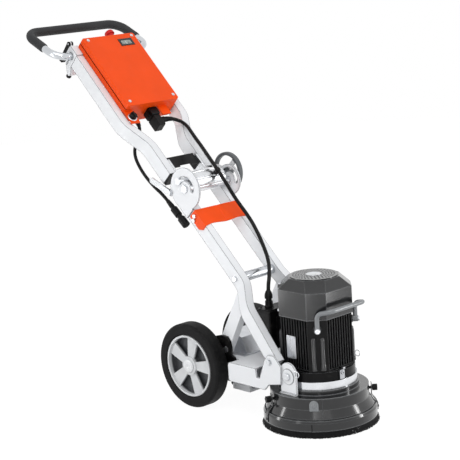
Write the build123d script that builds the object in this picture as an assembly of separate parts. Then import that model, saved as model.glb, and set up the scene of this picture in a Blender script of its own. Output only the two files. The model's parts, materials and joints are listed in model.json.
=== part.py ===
from build123d import *
import math
import os

# A walk-behind floor grinder: a motor and grinding head in front, two wheels behind it,
# and a folding frame that carries the control box and the handlebar.
# Lengths are millimetres. Places are measured from the spindle axis at floor level:
# X forward, Y to the left, Z up. Each node is moved to the middle of the footprint when written.

# Whole machine
GRIP_REAR_X = -1007.0
BRUSH_R = 165.0
SPINDLE_X = -(GRIP_REAR_X + BRUSH_R) / 2
RUN_GAP = 0.05

# Frame rails lean back at 45 degrees. s runs down the rails from the fold pivot,
# n stands off their front face, y is the machine's own Y.
RAIL_FOOT_X = -422.4
RAIL_FOOT_Z = 621.3
RAIL_W = 25.0
RAIL_WALL = 3.0
LOWER_DEPTH = 40.0
UPPER_DEPTH = 45.0
NARROW_OUT = 85.0
UPPER_CLEAR = 0.5
UPPER_OUT = 128.0
LEG_OUT = 122.0
RAIL_BEND_R = 80.0
UPPER_TOP_S = -556.0
UPPER_BEND_S = -280.0
UPPER_UNBEND_S = -195.0
UPPER_END_S = -75.0
LOWER_TOP_S = -20.0
LOWER_BEND_S = 330.0
LOWER_UNBEND_S = 402.0
LEG_END_S = 578.0
LEG_DROP = 29.7
CROSS_TUBE_S = 302.0
CROSS_TUBE_N = -22.0

# Fold hinge
PIVOT_N = 20.5
PIVOT_R = 8.0
CHEEK_R = 62.0
CHEEK_LEFT_R = 46.0
LATCH_PIVOT = (-34.0, -36.0)
CHEEK_T = 5.0
ROD_R = 6.0
ROD_ARM = 30.0
FOLD_DEG = 135.0
DRUM_R = 31.0
DRUM_S = -18.0
DRUM_HALF = 57.0
WHEEL_KNOB_R = 57.0

# Control box between the upper rails
BOX_TOP_S = -592.0
BOX_END_S = -318.0
BOX_HALF = 102.9
BOX_BACK_N = -46.0
BOX_RIM_N = 14.0
LID_BASE_N = 17.0
LID_TOP_N = 34.0
LID_HALF = 100.5
LID_HOLLOW_HALF = 78.0
LID_HOLLOW_S = (-572.5, -339.0)
STOP_N = 0.0
STOP_Y = 45.0
LID_SCREWS = [(-581, -85), (-581, 85), (-331, -85), (-331, 85)]
SHEET = 3.0

# Handlebar
BAR_S = -575.0
BAR_N = -20.0
BAR_R = 11.0
GRIP_R = 14.0
BAR_HALF = 182.0
BAR_BACK_X = -993.0
BAR_BACK_Z = 1085.0
BAR_BEND_R = 45.0
LEVER_S = -611.0
LEVER_N = -6.0

# Wheels
WHEEL_X = -380.0
WHEEL_R = 125.0
WHEEL_IN = 102.0
WHEEL_OUT = 149.0
RIM_R = 91.0
HUB_R = 28.0
AXLE_R = 10.0
BEARING_R = 17.5

# Chassis sheet
SIDE_IN = 122.0
SIDE_OUT = 127.0
PAN_TOP = 158.0
TONGUE_HALF = 91.0
TONGUE_SLOT_HALF = 48.0
CARRIER_OUT = 98.0
CARRIER_BOLTS = [(-268, 182), (-300, 150)]
DUCT_FOOT = 44.0
PORT_Z = 78.0
PORT_NECK_X = -320.0
PORT_NECK = 4.0
PORT_END_X = -400.0
PORT_R = 32.0
PORT_BORE_R = 29.0
TILT_X = 0.0
TILT_Z = 155.0
LUG_IN = 109.0
LUG_OUT = 114.7
BRACKET_IN = 115.0
BRACKET_OUT = 121.0
PIN_R = 7.0

# Motor and head
COVER_HALF = 91.0
COVER_CHAMFER = 39.0
COVER_BASE = 312.0
COVER_EDGE = 387.0
COVER_TOP = 416.0
COVER_TOP_HALF = 68.5
BODY_HALF = 88.0
BODY_CHAMFER = 38.0
BODY_BASE = 165.0
BODY_TOP = 314.0
FLANGE_R = 102.0
FLANGE_BASE = 140.0
ADAPTER_R = 107.0
ADAPTER_BASE = 118.0
SHAFT_R = 14.0
SHELF_Z = 104.0
SHROUD_R = 138.0
SKIRT_WALL_R = 152.0
SKIRT_R = 159.5
SKIRT_BASE = 18.0
SKIRT_TOP = 47.0
PLATE_BASE = 18.0
PLATE_TOP = 30.0
PLATE_R = 140.0
TOOL_PCD = 200.0
TOOL_HOLE_R = 4.5
SEGMENTS = 6
MOTOR_GLAND = (-150.0, -31.0, 336.0)
HANDLE_FOOT_Z = 287.0
KNOB_ANGLES = (47, 246)
KNOB_Z = 84.0
KNOB_FACE = 147.0
BRUSH_SECTIONS = 10
SECTION_STRANDS = 20

# Cords
CABLE_R = 5.5
LEAD_R = 5.0

ROOT2 = math.sqrt(2)
OCTAGON = 2 - ROOT2
CHAMFER_REACH = (2 * BODY_HALF - BODY_CHAMFER) / ROOT2
DOWN_RAIL = (1, 0, -1)
OFF_RAIL = (1, 0, 1)


def rail_point(s, n, y=0.0):
    """Point s down the rails, n in front of their front face and y to the left."""
    return Vector(RAIL_FOOT_X + (s + n) / ROOT2, y, RAIL_FOOT_Z + (n - s) / ROOT2)


RAIL_FACE = Plane(origin=rail_point(0, 0), x_dir=DOWN_RAIL, z_dir=OFF_RAIL)


def rail_side(y):
    """Side plane of the rails at y, with s across, n up and its normal to the right."""
    return Plane(origin=rail_point(0, 0, y), x_dir=DOWN_RAIL, z_dir=(0, -1, 0))


def upright_side(y):
    """Upright plane at y, with X across, Z up and its normal to the right."""
    return Plane(origin=(0, y, 0), x_dir=(1, 0, 0), z_dir=(0, -1, 0))


def rail_box(s_span, y_span, n_span):
    """Block between two values of s, of y and of n."""
    centre = [(low + high) / 2 for low, high in (s_span, y_span, n_span)]
    sizes = [high - low for low, high in (s_span, y_span, n_span)]
    return RAIL_FACE * Pos(*centre) * Box(*sizes)


def upright_box(x_span, y_span, z_span):
    """Block between two values of X, of Y and of Z."""
    centre = [(low + high) / 2 for low, high in (x_span, y_span, z_span)]
    sizes = [high - low for low, high in (x_span, y_span, z_span)]
    return Pos(*centre) * Box(*sizes)


def side_plate(sketch, y_low, y_high):
    """Plate with a side profile drawn in s and n."""
    return extrude(rail_side(y_high) * sketch, amount=y_high - y_low)


def upright_plate(sketch, y_low, y_high):
    """Plate with a side profile drawn in X and Z."""
    return extrude(upright_side(y_high) * sketch, amount=y_high - y_low)


def rod(start, end, radius):
    """Round bar between two points."""
    start = Vector(*start)
    end = Vector(*end)
    return extrude(Plane(origin=start, z_dir=end - start) * Circle(radius), amount=(end - start).length)


def ring(outer, inner, base, top):
    """Upright ring about the spindle axis."""
    face = Circle(outer) - Circle(inner)
    return extrude(Plane.XY.offset(base) * face, amount=top - base)


def cylinder_up(radius, base, top):
    """Upright round block about the spindle axis."""
    return extrude(Plane.XY.offset(base) * Circle(radius), amount=top - base)


def both_sides(shape):
    """The right-hand piece and its mirror image on the left."""
    return [shape, mirror(shape, about=Plane.XZ)]


def bent_tube(points, bends, radius):
    """Round bar along straight runs joined by arcs."""
    path = FilletPolyline(*points, radius=bends)
    section = Plane(origin=path @ 0, z_dir=path % 0) * Circle(radius)
    return sweep(section, path=path)


def hex_head(start, direction, across, height):
    """Hexagon bolt head standing on a face."""
    flat = RegularPolygon(across / 2 / math.cos(math.pi / 6), 6)
    return extrude(Plane(origin=start, z_dir=direction) * flat, amount=height)


def bent_rail(s_points, y_points, depth_span, inset):
    """Rail swept along its sideways double bend, in s and y."""
    path = RAIL_FACE * FilletPolyline(*zip(s_points, y_points), radius=RAIL_BEND_R)
    low, high = depth_span
    section = Rectangle(RAIL_W - 2 * inset, high - low - 2 * inset)
    start = Plane(origin=path @ 0, x_dir=(0, 1, 0), z_dir=path % 0)
    return sweep(start * Pos(0, (low + high) / 2, 0) * section, path=path)


# Lower frame

def lower_rail():
    """Right-hand lower rail: a box tube that spreads round the motor and steepens a little."""
    half = RAIL_W / 2
    y_points = [half - NARROW_OUT, half - NARROW_OUT, half - LEG_OUT, half - LEG_OUT]
    stretch = [LOWER_TOP_S, LOWER_BEND_S, LOWER_UNBEND_S, LEG_END_S]
    longer = [LOWER_TOP_S - 1, LOWER_BEND_S, LOWER_UNBEND_S, LEG_END_S + 1]

    def band(ends, inset):
        front = [(ends[0], -inset), (LOWER_BEND_S, -inset), (ends[3], -LEG_DROP - inset)]
        back = -LOWER_DEPTH + inset
        rear = [(ends[3], back - LEG_DROP), (LOWER_BEND_S, back), (ends[0], back)]
        return side_plate(make_face(Polyline(*front, *rear, close=True)), -200, 0)

    tall = (-LOWER_DEPTH - LEG_DROP - 20, 20)
    outer = bent_rail(stretch, y_points, tall, 0) & band(stretch, 0)
    bore = bent_rail(longer, y_points, tall, RAIL_WALL) & band(longer, RAIL_WALL)
    return outer - bore


def hinge_cheek(radius, y_low, y_high):
    """Round hinge plate on the outside of a lower rail, with the clamp rod's curved slot."""
    tail = Polyline((-0.8 * radius, -4), (0, -LOWER_DEPTH), (61, -LOWER_DEPTH), (61, 0), (30, 0), close=True)
    travel = CenterArc((0, PIVOT_N), ROD_ARM, 180 - FOLD_DEG - 4, FOLD_DEG + 8)
    slot = SlotArc(travel, 2 * ROD_R + 1.2)
    outline = Pos(0, PIVOT_N) * Circle(radius) + make_face(tail) - slot
    outline -= Pos(0, PIVOT_N) * Circle(PIVOT_R + RUN_GAP)
    return side_plate(outline, y_low, y_high)


def hinge_cheeks():
    """Large right-hand cheek with an ear for the latch, and a smaller one behind the handwheel."""
    right = hinge_cheek(CHEEK_R, -NARROW_OUT - CHEEK_T, -NARROW_OUT)
    right += side_plate(Pos(*LATCH_PIVOT) * Circle(11), -NARROW_OUT - CHEEK_T, -NARROW_OUT)
    return [right, hinge_cheek(CHEEK_LEFT_R, NARROW_OUT, NARROW_OUT + CHEEK_T)]


def cross_band():
    """Folded sheet across both lower rails, creased in the middle and waved along its foot."""
    top, foot = 65.0, 126.0
    edge = NARROW_OUT + SHEET
    wave = Spline((foot, edge), (foot - 6, 50), (foot - 2, 0), (foot - 6, -50), (foot, -edge))
    sides = Polyline((foot, -edge), (top, -edge), (top, edge), (foot, edge))
    web = extrude(RAIL_FACE * make_face(wave + sides), amount=SHEET)
    flange = rail_box((top, foot), (NARROW_OUT, edge), (-28, SHEET))
    corner = RAIL_FACE * Pos(foot, 0, -28) * Rot(0, 45, 0) * Box(18, 300, 18)
    crease = RAIL_FACE * Pos((top + foot) / 2, 0, SHEET) * Rot(45, 0, 0) * Box(80, 2.4, 2.4)
    return web + both_sides(flange) - corner - crease


def chassis_tray():
    """Folded chassis sheet: side plates, pan, forked tongue between the wheels, and the head's lugs."""
    outline = Polyline(
        (-233, 102), (-88, 102), (-71, 120), (-24, 129), (-21, 180), (-45, 206),
        (-70, 206), (-84, 188), (-106, 133), (-118, 133), (-121, PAN_TOP), (-233, PAN_TOP), close=True)
    face = make_face(outline)
    rounded = [v for v in face.vertices() if v.X < -200 or v.Y > 170]
    side = upright_plate(fillet(rounded, 9), -SIDE_OUT, -SIDE_IN)
    side -= rod((-65, -140, 187), (-65, -100, 187), 5)
    lug = Polyline((-90, 134), (TILT_X, 137), (TILT_X, 173), (-18, 166), (-32, 157), (-90, 157), close=True)
    lug_face = make_face(lug) + Pos(TILT_X, TILT_Z) * Circle(18)
    lug_plate = upright_plate(lug_face, -LUG_OUT, -LUG_IN)
    lug_plate += upright_box((-90, -66), (-SIDE_IN, -LUG_IN), (136, 157))
    lug_plate -= rod((TILT_X, -130, TILT_Z), (TILT_X, -100, TILT_Z), PIN_R + RUN_GAP)
    pan = upright_box((-224, -121), (-SIDE_IN, SIDE_IN), (PAN_TOP - SHEET, PAN_TOP))
    tongue = upright_box((-352, -224), (-TONGUE_HALF, TONGUE_HALF), (PAN_TOP - SHEET, PAN_TOP))
    slot = upright_box((-420, -234), (-TONGUE_SLOT_HALF, TONGUE_SLOT_HALF), (PAN_TOP - 10, PAN_TOP + 10))
    tray = pan + tongue - slot
    for piece in both_sides(side) + both_sides(lug_plate):
        tray += piece
    return tray


def chassis_braces():
    """Struts from the rails to the tongue, and the round tube between the rails."""
    width = 40.0
    top = Vector(-180, 0, 374)
    foot = Vector(-308, 0, 143)
    along = foot - top
    plane = Plane(origin=top, x_dir=(0, 1, 0), z_dir=along)

    def bar(inset, extra):
        face = Rectangle(RAIL_W - 2 * inset, width - 2 * inset)
        start = Plane(origin=plane.origin - plane.z_dir * extra, x_dir=(0, 1, 0), z_dir=along)
        return Pos(0, -78.5, 0) * extrude(start * face, amount=along.length + 2 * extra)

    strut = bar(0, 0) - bar(RAIL_WALL, 1)
    strut -= rail_box((200, 600), (-200, 0), (-LOWER_DEPTH, 100))
    drop = math.degrees(math.atan2(LEG_DROP, LEG_END_S - LOWER_BEND_S))
    leg = RAIL_FACE * Pos(LOWER_BEND_S, 0, -LOWER_DEPTH) * Rot(0, drop, 0) * Pos(200, 0, 50)
    strut -= leg * Box(400, 400, 100)
    strut -= upright_box((-500, 0), (-200, 0), (0, PAN_TOP))
    strut = max(strut.solids(), key=lambda solid: solid.volume)
    inner = NARROW_OUT - RAIL_W
    ends = [rail_point(CROSS_TUBE_S, CROSS_TUBE_N, y) for y in (-inner, inner)]
    tube = rod(*ends, 14) - rod(*ends, 11)
    return both_sides(strut) + [tube]


def frame_bolts():
    """Fold pivot bolt, band bolts, leg bolts, cross tube bolts and axle carrier bolts."""
    reach = NARROW_OUT + CHEEK_T
    pivot = rod(rail_point(0, PIVOT_N, -reach - 0.2), rail_point(0, PIVOT_N, reach + 0.2), PIVOT_R)
    for sign in (-1, 1):
        pivot += hex_head(rail_point(0, PIVOT_N, sign * (reach + 0.1)), (0, sign, 0), 22, 5)
    bolts = [pivot]
    for side in (-1, 1):
        outward = (0, side, 0)
        for s, n in ((78, -10), (84, -22)):
            bolts.append(hex_head(rail_point(s, n, side * (NARROW_OUT + SHEET)), outward, 11, 5))
        bolts.append(hex_head(rail_point(CROSS_TUBE_S, CROSS_TUBE_N, side * NARROW_OUT), outward, 13, 6))
        leg = rod((-65, side * SIDE_IN, 187), (-65, side * SIDE_OUT, 187), 4.5)
        leg += hex_head(Vector(-65, side * SIDE_OUT, 187), outward, 13, 6)
        bolts.append(leg)
        for x, z in CARRIER_BOLTS:
            bolts.append(hex_head(Vector(x, side * CARRIER_OUT, z), outward, 17, 3))
    return bolts


def axle_carrier():
    """Wheel axle welded through a bracket plate on each side, with a collar inside each wheel."""
    carrier = rod((WHEEL_X, -146, WHEEL_R), (WHEEL_X, 146, WHEEL_R), AXLE_R - RUN_GAP)
    outline = make_face(Polyline(
        (-394, 147), (-330, 205), (-311, 215), (-285, 222), (-262, 220), (-252, 208), (-247, 190), (-248, 167),
        (-236, 163), (-234, 152), (-251, 141), (-275, 130), (-300, 115), (-372, 100), close=True))
    outline += Pos(WHEEL_X, WHEEL_R) * Circle(26)
    for plate in both_sides(upright_plate(outline, -CARRIER_OUT, -TONGUE_HALF)):
        carrier += plate
    for side in (-1, 1):
        carrier += rod((WHEEL_X, side * TONGUE_HALF, WHEEL_R), (WHEEL_X, side * 105, WHEEL_R), 13)
    return carrier


def wheel_bearings():
    """Two ball bearings in each wheel hub, fixed on the axle."""
    races = []
    for side in (-1, 1):
        for near, far in ((105, 117), (132, 144)):
            race = rod((WHEEL_X, side * near, WHEEL_R), (WHEEL_X, side * far, WHEEL_R), BEARING_R)
            race -= rod((WHEEL_X, side * near, WHEEL_R), (WHEEL_X, side * far, WHEEL_R), AXLE_R)
            races.append(race)
    return races


def dust_port():
    """Dust outlet behind the head: a duct through the forked tongue and a spigot with an eared collar."""
    def stub(radius, start, end):
        return rod((start, 0, PORT_Z), (end, 0, PORT_Z), radius)

    outer = Polyline((-306, DUCT_FOOT), (-236, DUCT_FOOT), (-236, PAN_TOP), (-258, 206), (-306, 220), close=True)
    low = DUCT_FOOT + SHEET
    inner = Polyline((-303, low), (-239, low), (-239, PAN_TOP), (-260, 203), (-303, 217), close=True)
    port = upright_plate(make_face(outer), -44, 44)
    port += upright_box((-318, -230), (-62, 62), (PAN_TOP, PAN_TOP + SHEET))
    collar = (PORT_NECK_X, PORT_NECK_X + 14)
    port += stub(PORT_R, PORT_NECK_X - PORT_NECK, PORT_END_X) + stub(PORT_R - 1, -305, PORT_NECK_X - PORT_NECK)
    port += stub(PORT_R + 5, *collar)
    for angle in (35, 145, 215, 325):
        ear = Pos(sum(collar) / 2, 0, PORT_Z) * Rot(angle, 0, 0) * Pos(0, PORT_R + 4, 0) * Box(14, 16, 12)
        port += fillet(ear.edges().filter_by(Axis.X), 4)
    port -= upright_plate(make_face(inner), -41, 41)
    port -= upright_box((-245, -230), (-36, 36), (low + 5, low + 60))
    port -= stub(PORT_BORE_R, -290, PORT_END_X - 1)
    return port


# Wheels

def wheel_rim(side):
    """Five-spoke wheel centre with a long hub."""
    def disc(radius, near, far):
        return rod((WHEEL_X, side * near, WHEEL_R), (WHEEL_X, side * far, WHEEL_R), radius)

    rim = disc(RIM_R - 0.1, WHEEL_IN + 6, WHEEL_OUT - 1) - disc(85, WHEEL_IN, WHEEL_OUT)
    rim += disc(HUB_R, WHEEL_IN + 3.5, WHEEL_OUT - 3.5) + disc(86, 122, 125)
    face = Plane(origin=(WHEEL_X, side * (WHEEL_OUT - 7), WHEEL_R), z_dir=(0, -side, 0), x_dir=(1, 0, 0))
    spoke = make_face(Polyline((20, -11), (87, -21), (87, 21), (20, 11), close=True))
    for count in range(5):
        rim += extrude(face * Rot(0, 0, 72 * count - 5) * spoke, amount=9)
    rim -= disc(BEARING_R + RUN_GAP, WHEEL_IN, 145)
    return rim - disc(HUB_R - 8, 145, WHEEL_OUT + 1)


def tyre(side):
    """Solid rubber tyre with round shoulders."""
    mid = (WHEEL_IN + WHEEL_OUT) / 2
    half = (WHEEL_OUT - WHEEL_IN) / 2
    section = Pos((RIM_R + WHEEL_R) / 2, 0) * RectangleRounded(WHEEL_R - RIM_R, 2 * half, 8)
    plane = Plane(origin=(WHEEL_X, side * mid, WHEEL_R), x_dir=(0, 0, 1), z_dir=(1, 0, 0))
    return revolve(plane * section, axis=Axis((WHEEL_X, side * mid, WHEEL_R), (0, 1, 0)))


# Upper frame

def upper_rail():
    """Right-hand upper rail: a box tube that spreads round the control box."""
    half = RAIL_W / 2
    wide = half - UPPER_OUT
    narrow = half - NARROW_OUT + UPPER_CLEAR
    y_points = [wide, wide, narrow, narrow]
    bends = [UPPER_BEND_S, UPPER_UNBEND_S]
    outer = bent_rail([UPPER_TOP_S, *bends, UPPER_END_S], y_points, (-UPPER_DEPTH, 0), 0)
    longer = [UPPER_TOP_S - 1, *bends, UPPER_END_S + 1]
    return outer - bent_rail(longer, y_points, (-UPPER_DEPTH, 0), RAIL_WALL)


def hinge_drum():
    """Grooved cross drum of the fold hinge, with an arm inside each upper rail."""
    def bar(radius, half, s=DRUM_S, n=PIVOT_N):
        return rod(rail_point(s, n, -half), rail_point(s, n, half), radius)

    drum = bar(DRUM_R, DRUM_HALF)
    for angle in range(0, 360, 45):
        turn = math.radians(angle + 22.5)
        drum -= bar(4, DRUM_HALF + 1, DRUM_S + 32 * math.cos(turn), PIVOT_N + 32 * math.sin(turn))
    face = make_face(Polyline((-125, -UPPER_DEPTH), (-75, -UPPER_DEPTH), (-30, -2), (-18, 45),
                              (-40, 30), (-75, 0), (-125, 0), close=True))
    reach = NARROW_OUT - UPPER_CLEAR - RAIL_W
    for arm in both_sides(side_plate(face + Pos(DRUM_S, PIVOT_N) * Circle(24), -reach, -reach + 7)):
        drum += arm
    drum -= bar(PIVOT_R + RUN_GAP, 90, 0)
    return drum - bar(ROD_R, 90, -ROD_ARM)


def clamp_rod():
    """Rod through the drum and both curved slots, with its fixed nut on the right."""
    reach = NARROW_OUT + CHEEK_T
    def at(y):
        return rail_point(-ROD_ARM, PIVOT_N, y)
    shank = rod(at(-reach - 8), at(reach + 27), ROD_R - RUN_GAP)
    return shank + rod(at(-reach - 8), at(-reach - 0.6), 10)


def handwheel():
    """Three-spoke handwheel on the left end of the clamp rod."""
    near = NARROW_OUT + CHEEK_T + 0.6
    plane = Plane(origin=rail_point(-ROD_ARM, PIVOT_N, near + 6), x_dir=DOWN_RAIL, z_dir=(0, 1, 0))
    rim = extrude(plane * (Circle(WHEEL_KNOB_R) - Circle(WHEEL_KNOB_R - 10)), amount=16)
    rim = fillet(rim.edges().filter_by(GeomType.CIRCLE), 4)
    hub = extrude(Plane(origin=plane.origin - Vector(0, 6, 0), z_dir=(0, 1, 0)) * Circle(14), amount=24)
    spoke = Pos(31, 0) * Rectangle(40, 13)
    for count in range(3):
        hub += extrude(plane * Rot(0, 0, 120 * count + 30) * spoke, amount=8)
    bore = rod(rail_point(-ROD_ARM, PIVOT_N, 80), rail_point(-ROD_ARM, PIVOT_N, 140), ROD_R)
    return rim + hub - bore


def rail_cross_plate():
    """Folded brace between the upper rails, above the hinge."""
    half = NARROW_OUT - UPPER_CLEAR - RAIL_W - 7
    web = rail_box((-137, -98), (-half, half), (-11, -8))
    lip = rail_box((-137, -134), (-half, half), (-40, -8))
    end = rail_box((-137, -98), (half - 3, half), (-40, -8))
    plate = web + lip
    for piece in both_sides(end):
        plate += piece
    return plate - rail_box((-103, -90), (-22, 22), (-20, 0))


def control_box():
    """Sheet tray of the control box with the switch apron and the cable apron below it."""
    span = (BOX_TOP_S, BOX_END_S)
    tray = rail_box(span, (-BOX_HALF, BOX_HALF), (BOX_BACK_N, BOX_RIM_N))
    tray = fillet(tray.edges().filter_by(Axis(rail_point(0, 0), OFF_RAIL)), 6)
    inner = (BOX_TOP_S + SHEET, BOX_END_S - SHEET)
    wall = BOX_HALF - SHEET
    tray -= rail_box(inner, (-wall, wall), (BOX_BACK_N + SHEET, BOX_RIM_N + 1))
    tray += rail_box((BOX_END_S - 2, -270), (-BOX_HALF, -70), (4, 7))
    tray += rail_box((BOX_END_S - 2, -284), (28, 62), (4, 7))
    tray -= rod(rail_point(-292, 0, -87), rail_point(-292, 20, -87), 5.1)
    return tray - rod(rail_point(-620, STOP_N, STOP_Y), rail_point(-570, STOP_N, STOP_Y), 8.1)


def lid_gasket():
    """Rubber seal between the tray and the lid."""
    outer = rail_box((BOX_TOP_S + 1, BOX_END_S - 1), (-LID_HALF + 1, LID_HALF - 1), (BOX_RIM_N, LID_BASE_N))
    return outer - rail_box(LID_HOLLOW_S, (-LID_HOLLOW_HALF, LID_HOLLOW_HALF), (0, 30))


def control_lid():
    """Shallow lid of the control box with a window for the hour meter."""
    span = (BOX_TOP_S - 2, BOX_END_S + 2)
    lid = rail_box(span, (-LID_HALF, LID_HALF), (LID_BASE_N, LID_TOP_N))
    lid = fillet(lid.edges().filter_by(Axis(rail_point(0, 0), OFF_RAIL)), 7)
    lid = fillet(lid.faces().sort_by(Axis(rail_point(0, 0), OFF_RAIL))[-1].edges(), 3)
    lid -= rail_box(LID_HOLLOW_S, (-LID_HOLLOW_HALF, LID_HOLLOW_HALF), (0, LID_TOP_N - SHEET))
    lid -= rail_box((-570, -546), (26, 75), (0, 60))
    for s, y in LID_SCREWS:
        lid -= rod(rail_point(s, 0, y), rail_point(s, 60, y), 3.2)
    return lid


def lid_screws():
    """Four lid screws with their washers."""
    screws = []
    for s, y in LID_SCREWS:
        screw = rod(rail_point(s, LID_BASE_N + 1, y), rail_point(s, LID_TOP_N + 0.1, y), 3)
        screw += rod(rail_point(s, LID_TOP_N, y), rail_point(s, LID_TOP_N + 2.4, y), 5)
        slot = RAIL_FACE * Pos(s, y, LID_TOP_N + 2.4) * Rot(0, 0, 30) * Box(9, 1.2, 1.4)
        screws.append(screw - slot)
    return screws


def hour_meter():
    """Hour meter in the lid: a bezel round a sunk window."""
    body = rail_box((-570, -546), (26, 75), (LID_BASE_N + 1, LID_TOP_N))
    bezel = rail_box((-572, -544), (24, 77), (LID_TOP_N, LID_TOP_N + 1.5))
    return body + bezel - rail_box((-566, -550), (31, 70), (LID_TOP_N - 1, 60))


def power_module():
    """Contactor and terminals on the floor of the control box."""
    floor = BOX_BACK_N + SHEET
    module = rail_box((-560, -430), (-60, 60), (floor, -6))
    module += rail_box((-410, -370), (-70, 70), (floor, -20))
    for y in range(-60, 61, 15):
        module -= rod(rail_point(-390, -26, y), rail_point(-390, 0, y), 4)
    return module


def cable_connector():
    """Connector hood below the box with its side gland for the motor cable."""
    hood = rail_box((BOX_END_S, -290), (-10, 21), (-26, 9))
    hood = fillet(hood.edges().filter_by(Axis.Y), 4)
    block = rail_box((-291, -250), (-6, 17), (-29, 6))
    hood += fillet(block.edges().filter_by(Axis.Y), 5)
    hood += rail_box((-311, -297), (-12.5, 23.5), (-14, -4))
    hood += rod(rail_point(-277, -10, 16), rail_point(-277, -10, 36), 10)
    return hood + rod(rail_point(-277, -10, 36), rail_point(-277, -10, 44), 8)


def supply_gland():
    """Gland in the foot of the box for the supply lead."""
    gland = rod(rail_point(BOX_END_S, -24, -50), rail_point(-309, -24, -50), 11)
    return gland + rod(rail_point(-309, -24, -50), rail_point(-302, -24, -50), 8.5)


def bar_clamp():
    """Right-hand split clamp on a rail's top end, with its stud and cross pin."""
    outline = make_face(Polyline((-598, 3), (UPPER_TOP_S, 3), (UPPER_TOP_S, -UPPER_DEPTH), (-540, -72),
                                 (-552, -80), (-574, -62), (-598, -38), close=True))
    outline = fillet([v for v in outline.vertices() if v.Y < -50 or v.X < -590], 6)
    outline -= Pos(BAR_S, BAR_N) * Circle(BAR_R + RUN_GAP)
    outer = UPPER_OUT
    clamp = side_plate(outline, -outer, RAIL_W - outer)
    clamp -= rail_box((-576.5, -573.5), (-outer - 1, 0), (-100, BAR_N))
    mid = RAIL_W / 2 - outer
    stud = rod(rail_point(-598, LEVER_N, mid), rail_point(LEVER_S, LEVER_N, mid), 2.9)
    stud += rod(rail_point(LEVER_S, LEVER_N, mid - 2.9), rail_point(LEVER_S, LEVER_N, mid + 2.9), 6)
    stud += rod(rail_point(LEVER_S, LEVER_N, mid - 8), rail_point(LEVER_S, LEVER_N, mid + 8), 3)
    return [clamp, stud]


def clamp_lever():
    """Right-hand cam lever with a fork round its stud."""
    mid = RAIL_W / 2 - UPPER_OUT
    head = Pos(LEVER_S, LEVER_N) * Circle(7.2)
    arm = make_face(Polyline((LEVER_S - 6.5, LEVER_N), (LEVER_S + 6.5, LEVER_N), (-601, -76), (-613, -78),
                             close=True))
    lever = side_plate(head + arm, mid - 7, mid + 7)
    fork = rail_box((-640, -590), (mid - 3.3, mid + 3.3), (LEVER_N - 9, 30))
    lever -= fork
    pin_ends = [rail_point(LEVER_S, LEVER_N, mid + reach) for reach in (-20, 20)]
    return lever - rod(*pin_ends, 3 + RUN_GAP)


def bar_points(half):
    """Corners of the handlebar's centre line."""
    hinge = rail_point(BAR_S, BAR_N)
    inner = UPPER_OUT - RAIL_W + 2
    right = [(hinge.X, -inner, hinge.Z), (hinge.X, -half, hinge.Z), (BAR_BACK_X, -half, BAR_BACK_Z)]
    left = [(x, -y, z) for x, y, z in reversed(right)]
    return right + left


def handlebar_tube():
    """Bent tube of the handlebar, from clamp to clamp."""
    points = bar_points(BAR_HALF)
    return bent_tube(points, BAR_BEND_R, BAR_R) - bent_tube(points, BAR_BEND_R, BAR_R - 2)


def handlebar_grip():
    """Foam sleeve along the back of the handlebar and part of its arms."""
    points = bar_points(BAR_HALF)
    share = 0.62
    start = Vector(*points[2]) + (Vector(*points[1]) - Vector(*points[2])) * share
    end = Vector(start.X, -start.Y, start.Z)
    route = [start, Vector(*points[2]), Vector(*points[3]), end]
    return bent_tube(route, BAR_BEND_R, GRIP_R) - bent_tube(points, BAR_BEND_R, BAR_R)


def estop_button():
    """Mushroom emergency stop on the top end of the box."""
    def stage(radius, start, end):
        return rod(rail_point(start, STOP_N, STOP_Y), rail_point(end, STOP_N, STOP_Y), radius)

    head = stage(15, -635, -622)
    head = fillet(head.edges().filter_by(GeomType.CIRCLE).sort_by(Axis(rail_point(0, 0), DOWN_RAIL))[0], 6)
    return head + stage(10, -622.5, -603) + stage(8, -604, -576)


def start_switch():
    """Round start switch on the apron."""
    knob = rod(rail_point(-292, 7.3, -87), rail_point(-292, 20, -87), 11)
    knob = fillet(knob.edges().filter_by(GeomType.CIRCLE), 1.5)
    knob += rail_box((-301, -283), (-89.5, -84.5), (19, 24))
    return knob + rod(rail_point(-292, -2, -87), rail_point(-292, 8, -87), 5)


def fold_latch():
    """Locking lever on the right-hand cheek, hinged at its lower end."""
    near = NARROW_OUT + CHEEK_T + 1
    low = Pos(*LATCH_PIVOT) * Circle(9)
    far = Pos(-108, -67) * Circle(9)
    lever = make_face(Polyline((-37.5, -27.7), (-111.5, -58.7), (-104.5, -75.3), (-30.5, -44.3), close=True))
    plate = side_plate(low + far + lever, -near - 5, -near)
    return plate - rod(rail_point(*LATCH_PIVOT, -120), rail_point(*LATCH_PIVOT, -80), 5 + RUN_GAP)


def latch_stud():
    """Shouldered stud that the fold latch turns on."""
    reach = NARROW_OUT + CHEEK_T
    def at(y):
        return rail_point(*LATCH_PIVOT, y)
    return rod(at(-reach), at(-reach - 6.5), 5) + rod(at(-reach - 6.4), at(-reach - 9.5), 8)


# Motor and grinding head

def chamfered_square(half, chamfer):
    """Square outline with equal corner chamfers."""
    flat = half - chamfer
    points = [(half, -flat), (half, flat), (flat, half), (-flat, half),
              (-half, flat), (-half, -flat), (-flat, -half), (flat, -half)]
    return make_face(Polyline(*points, close=True))


def upright_prism(sketch, base, top):
    """Sketch in X and Y raised between two heights."""
    return extrude(Plane.XY.offset(base) * sketch, amount=top - base)


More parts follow.
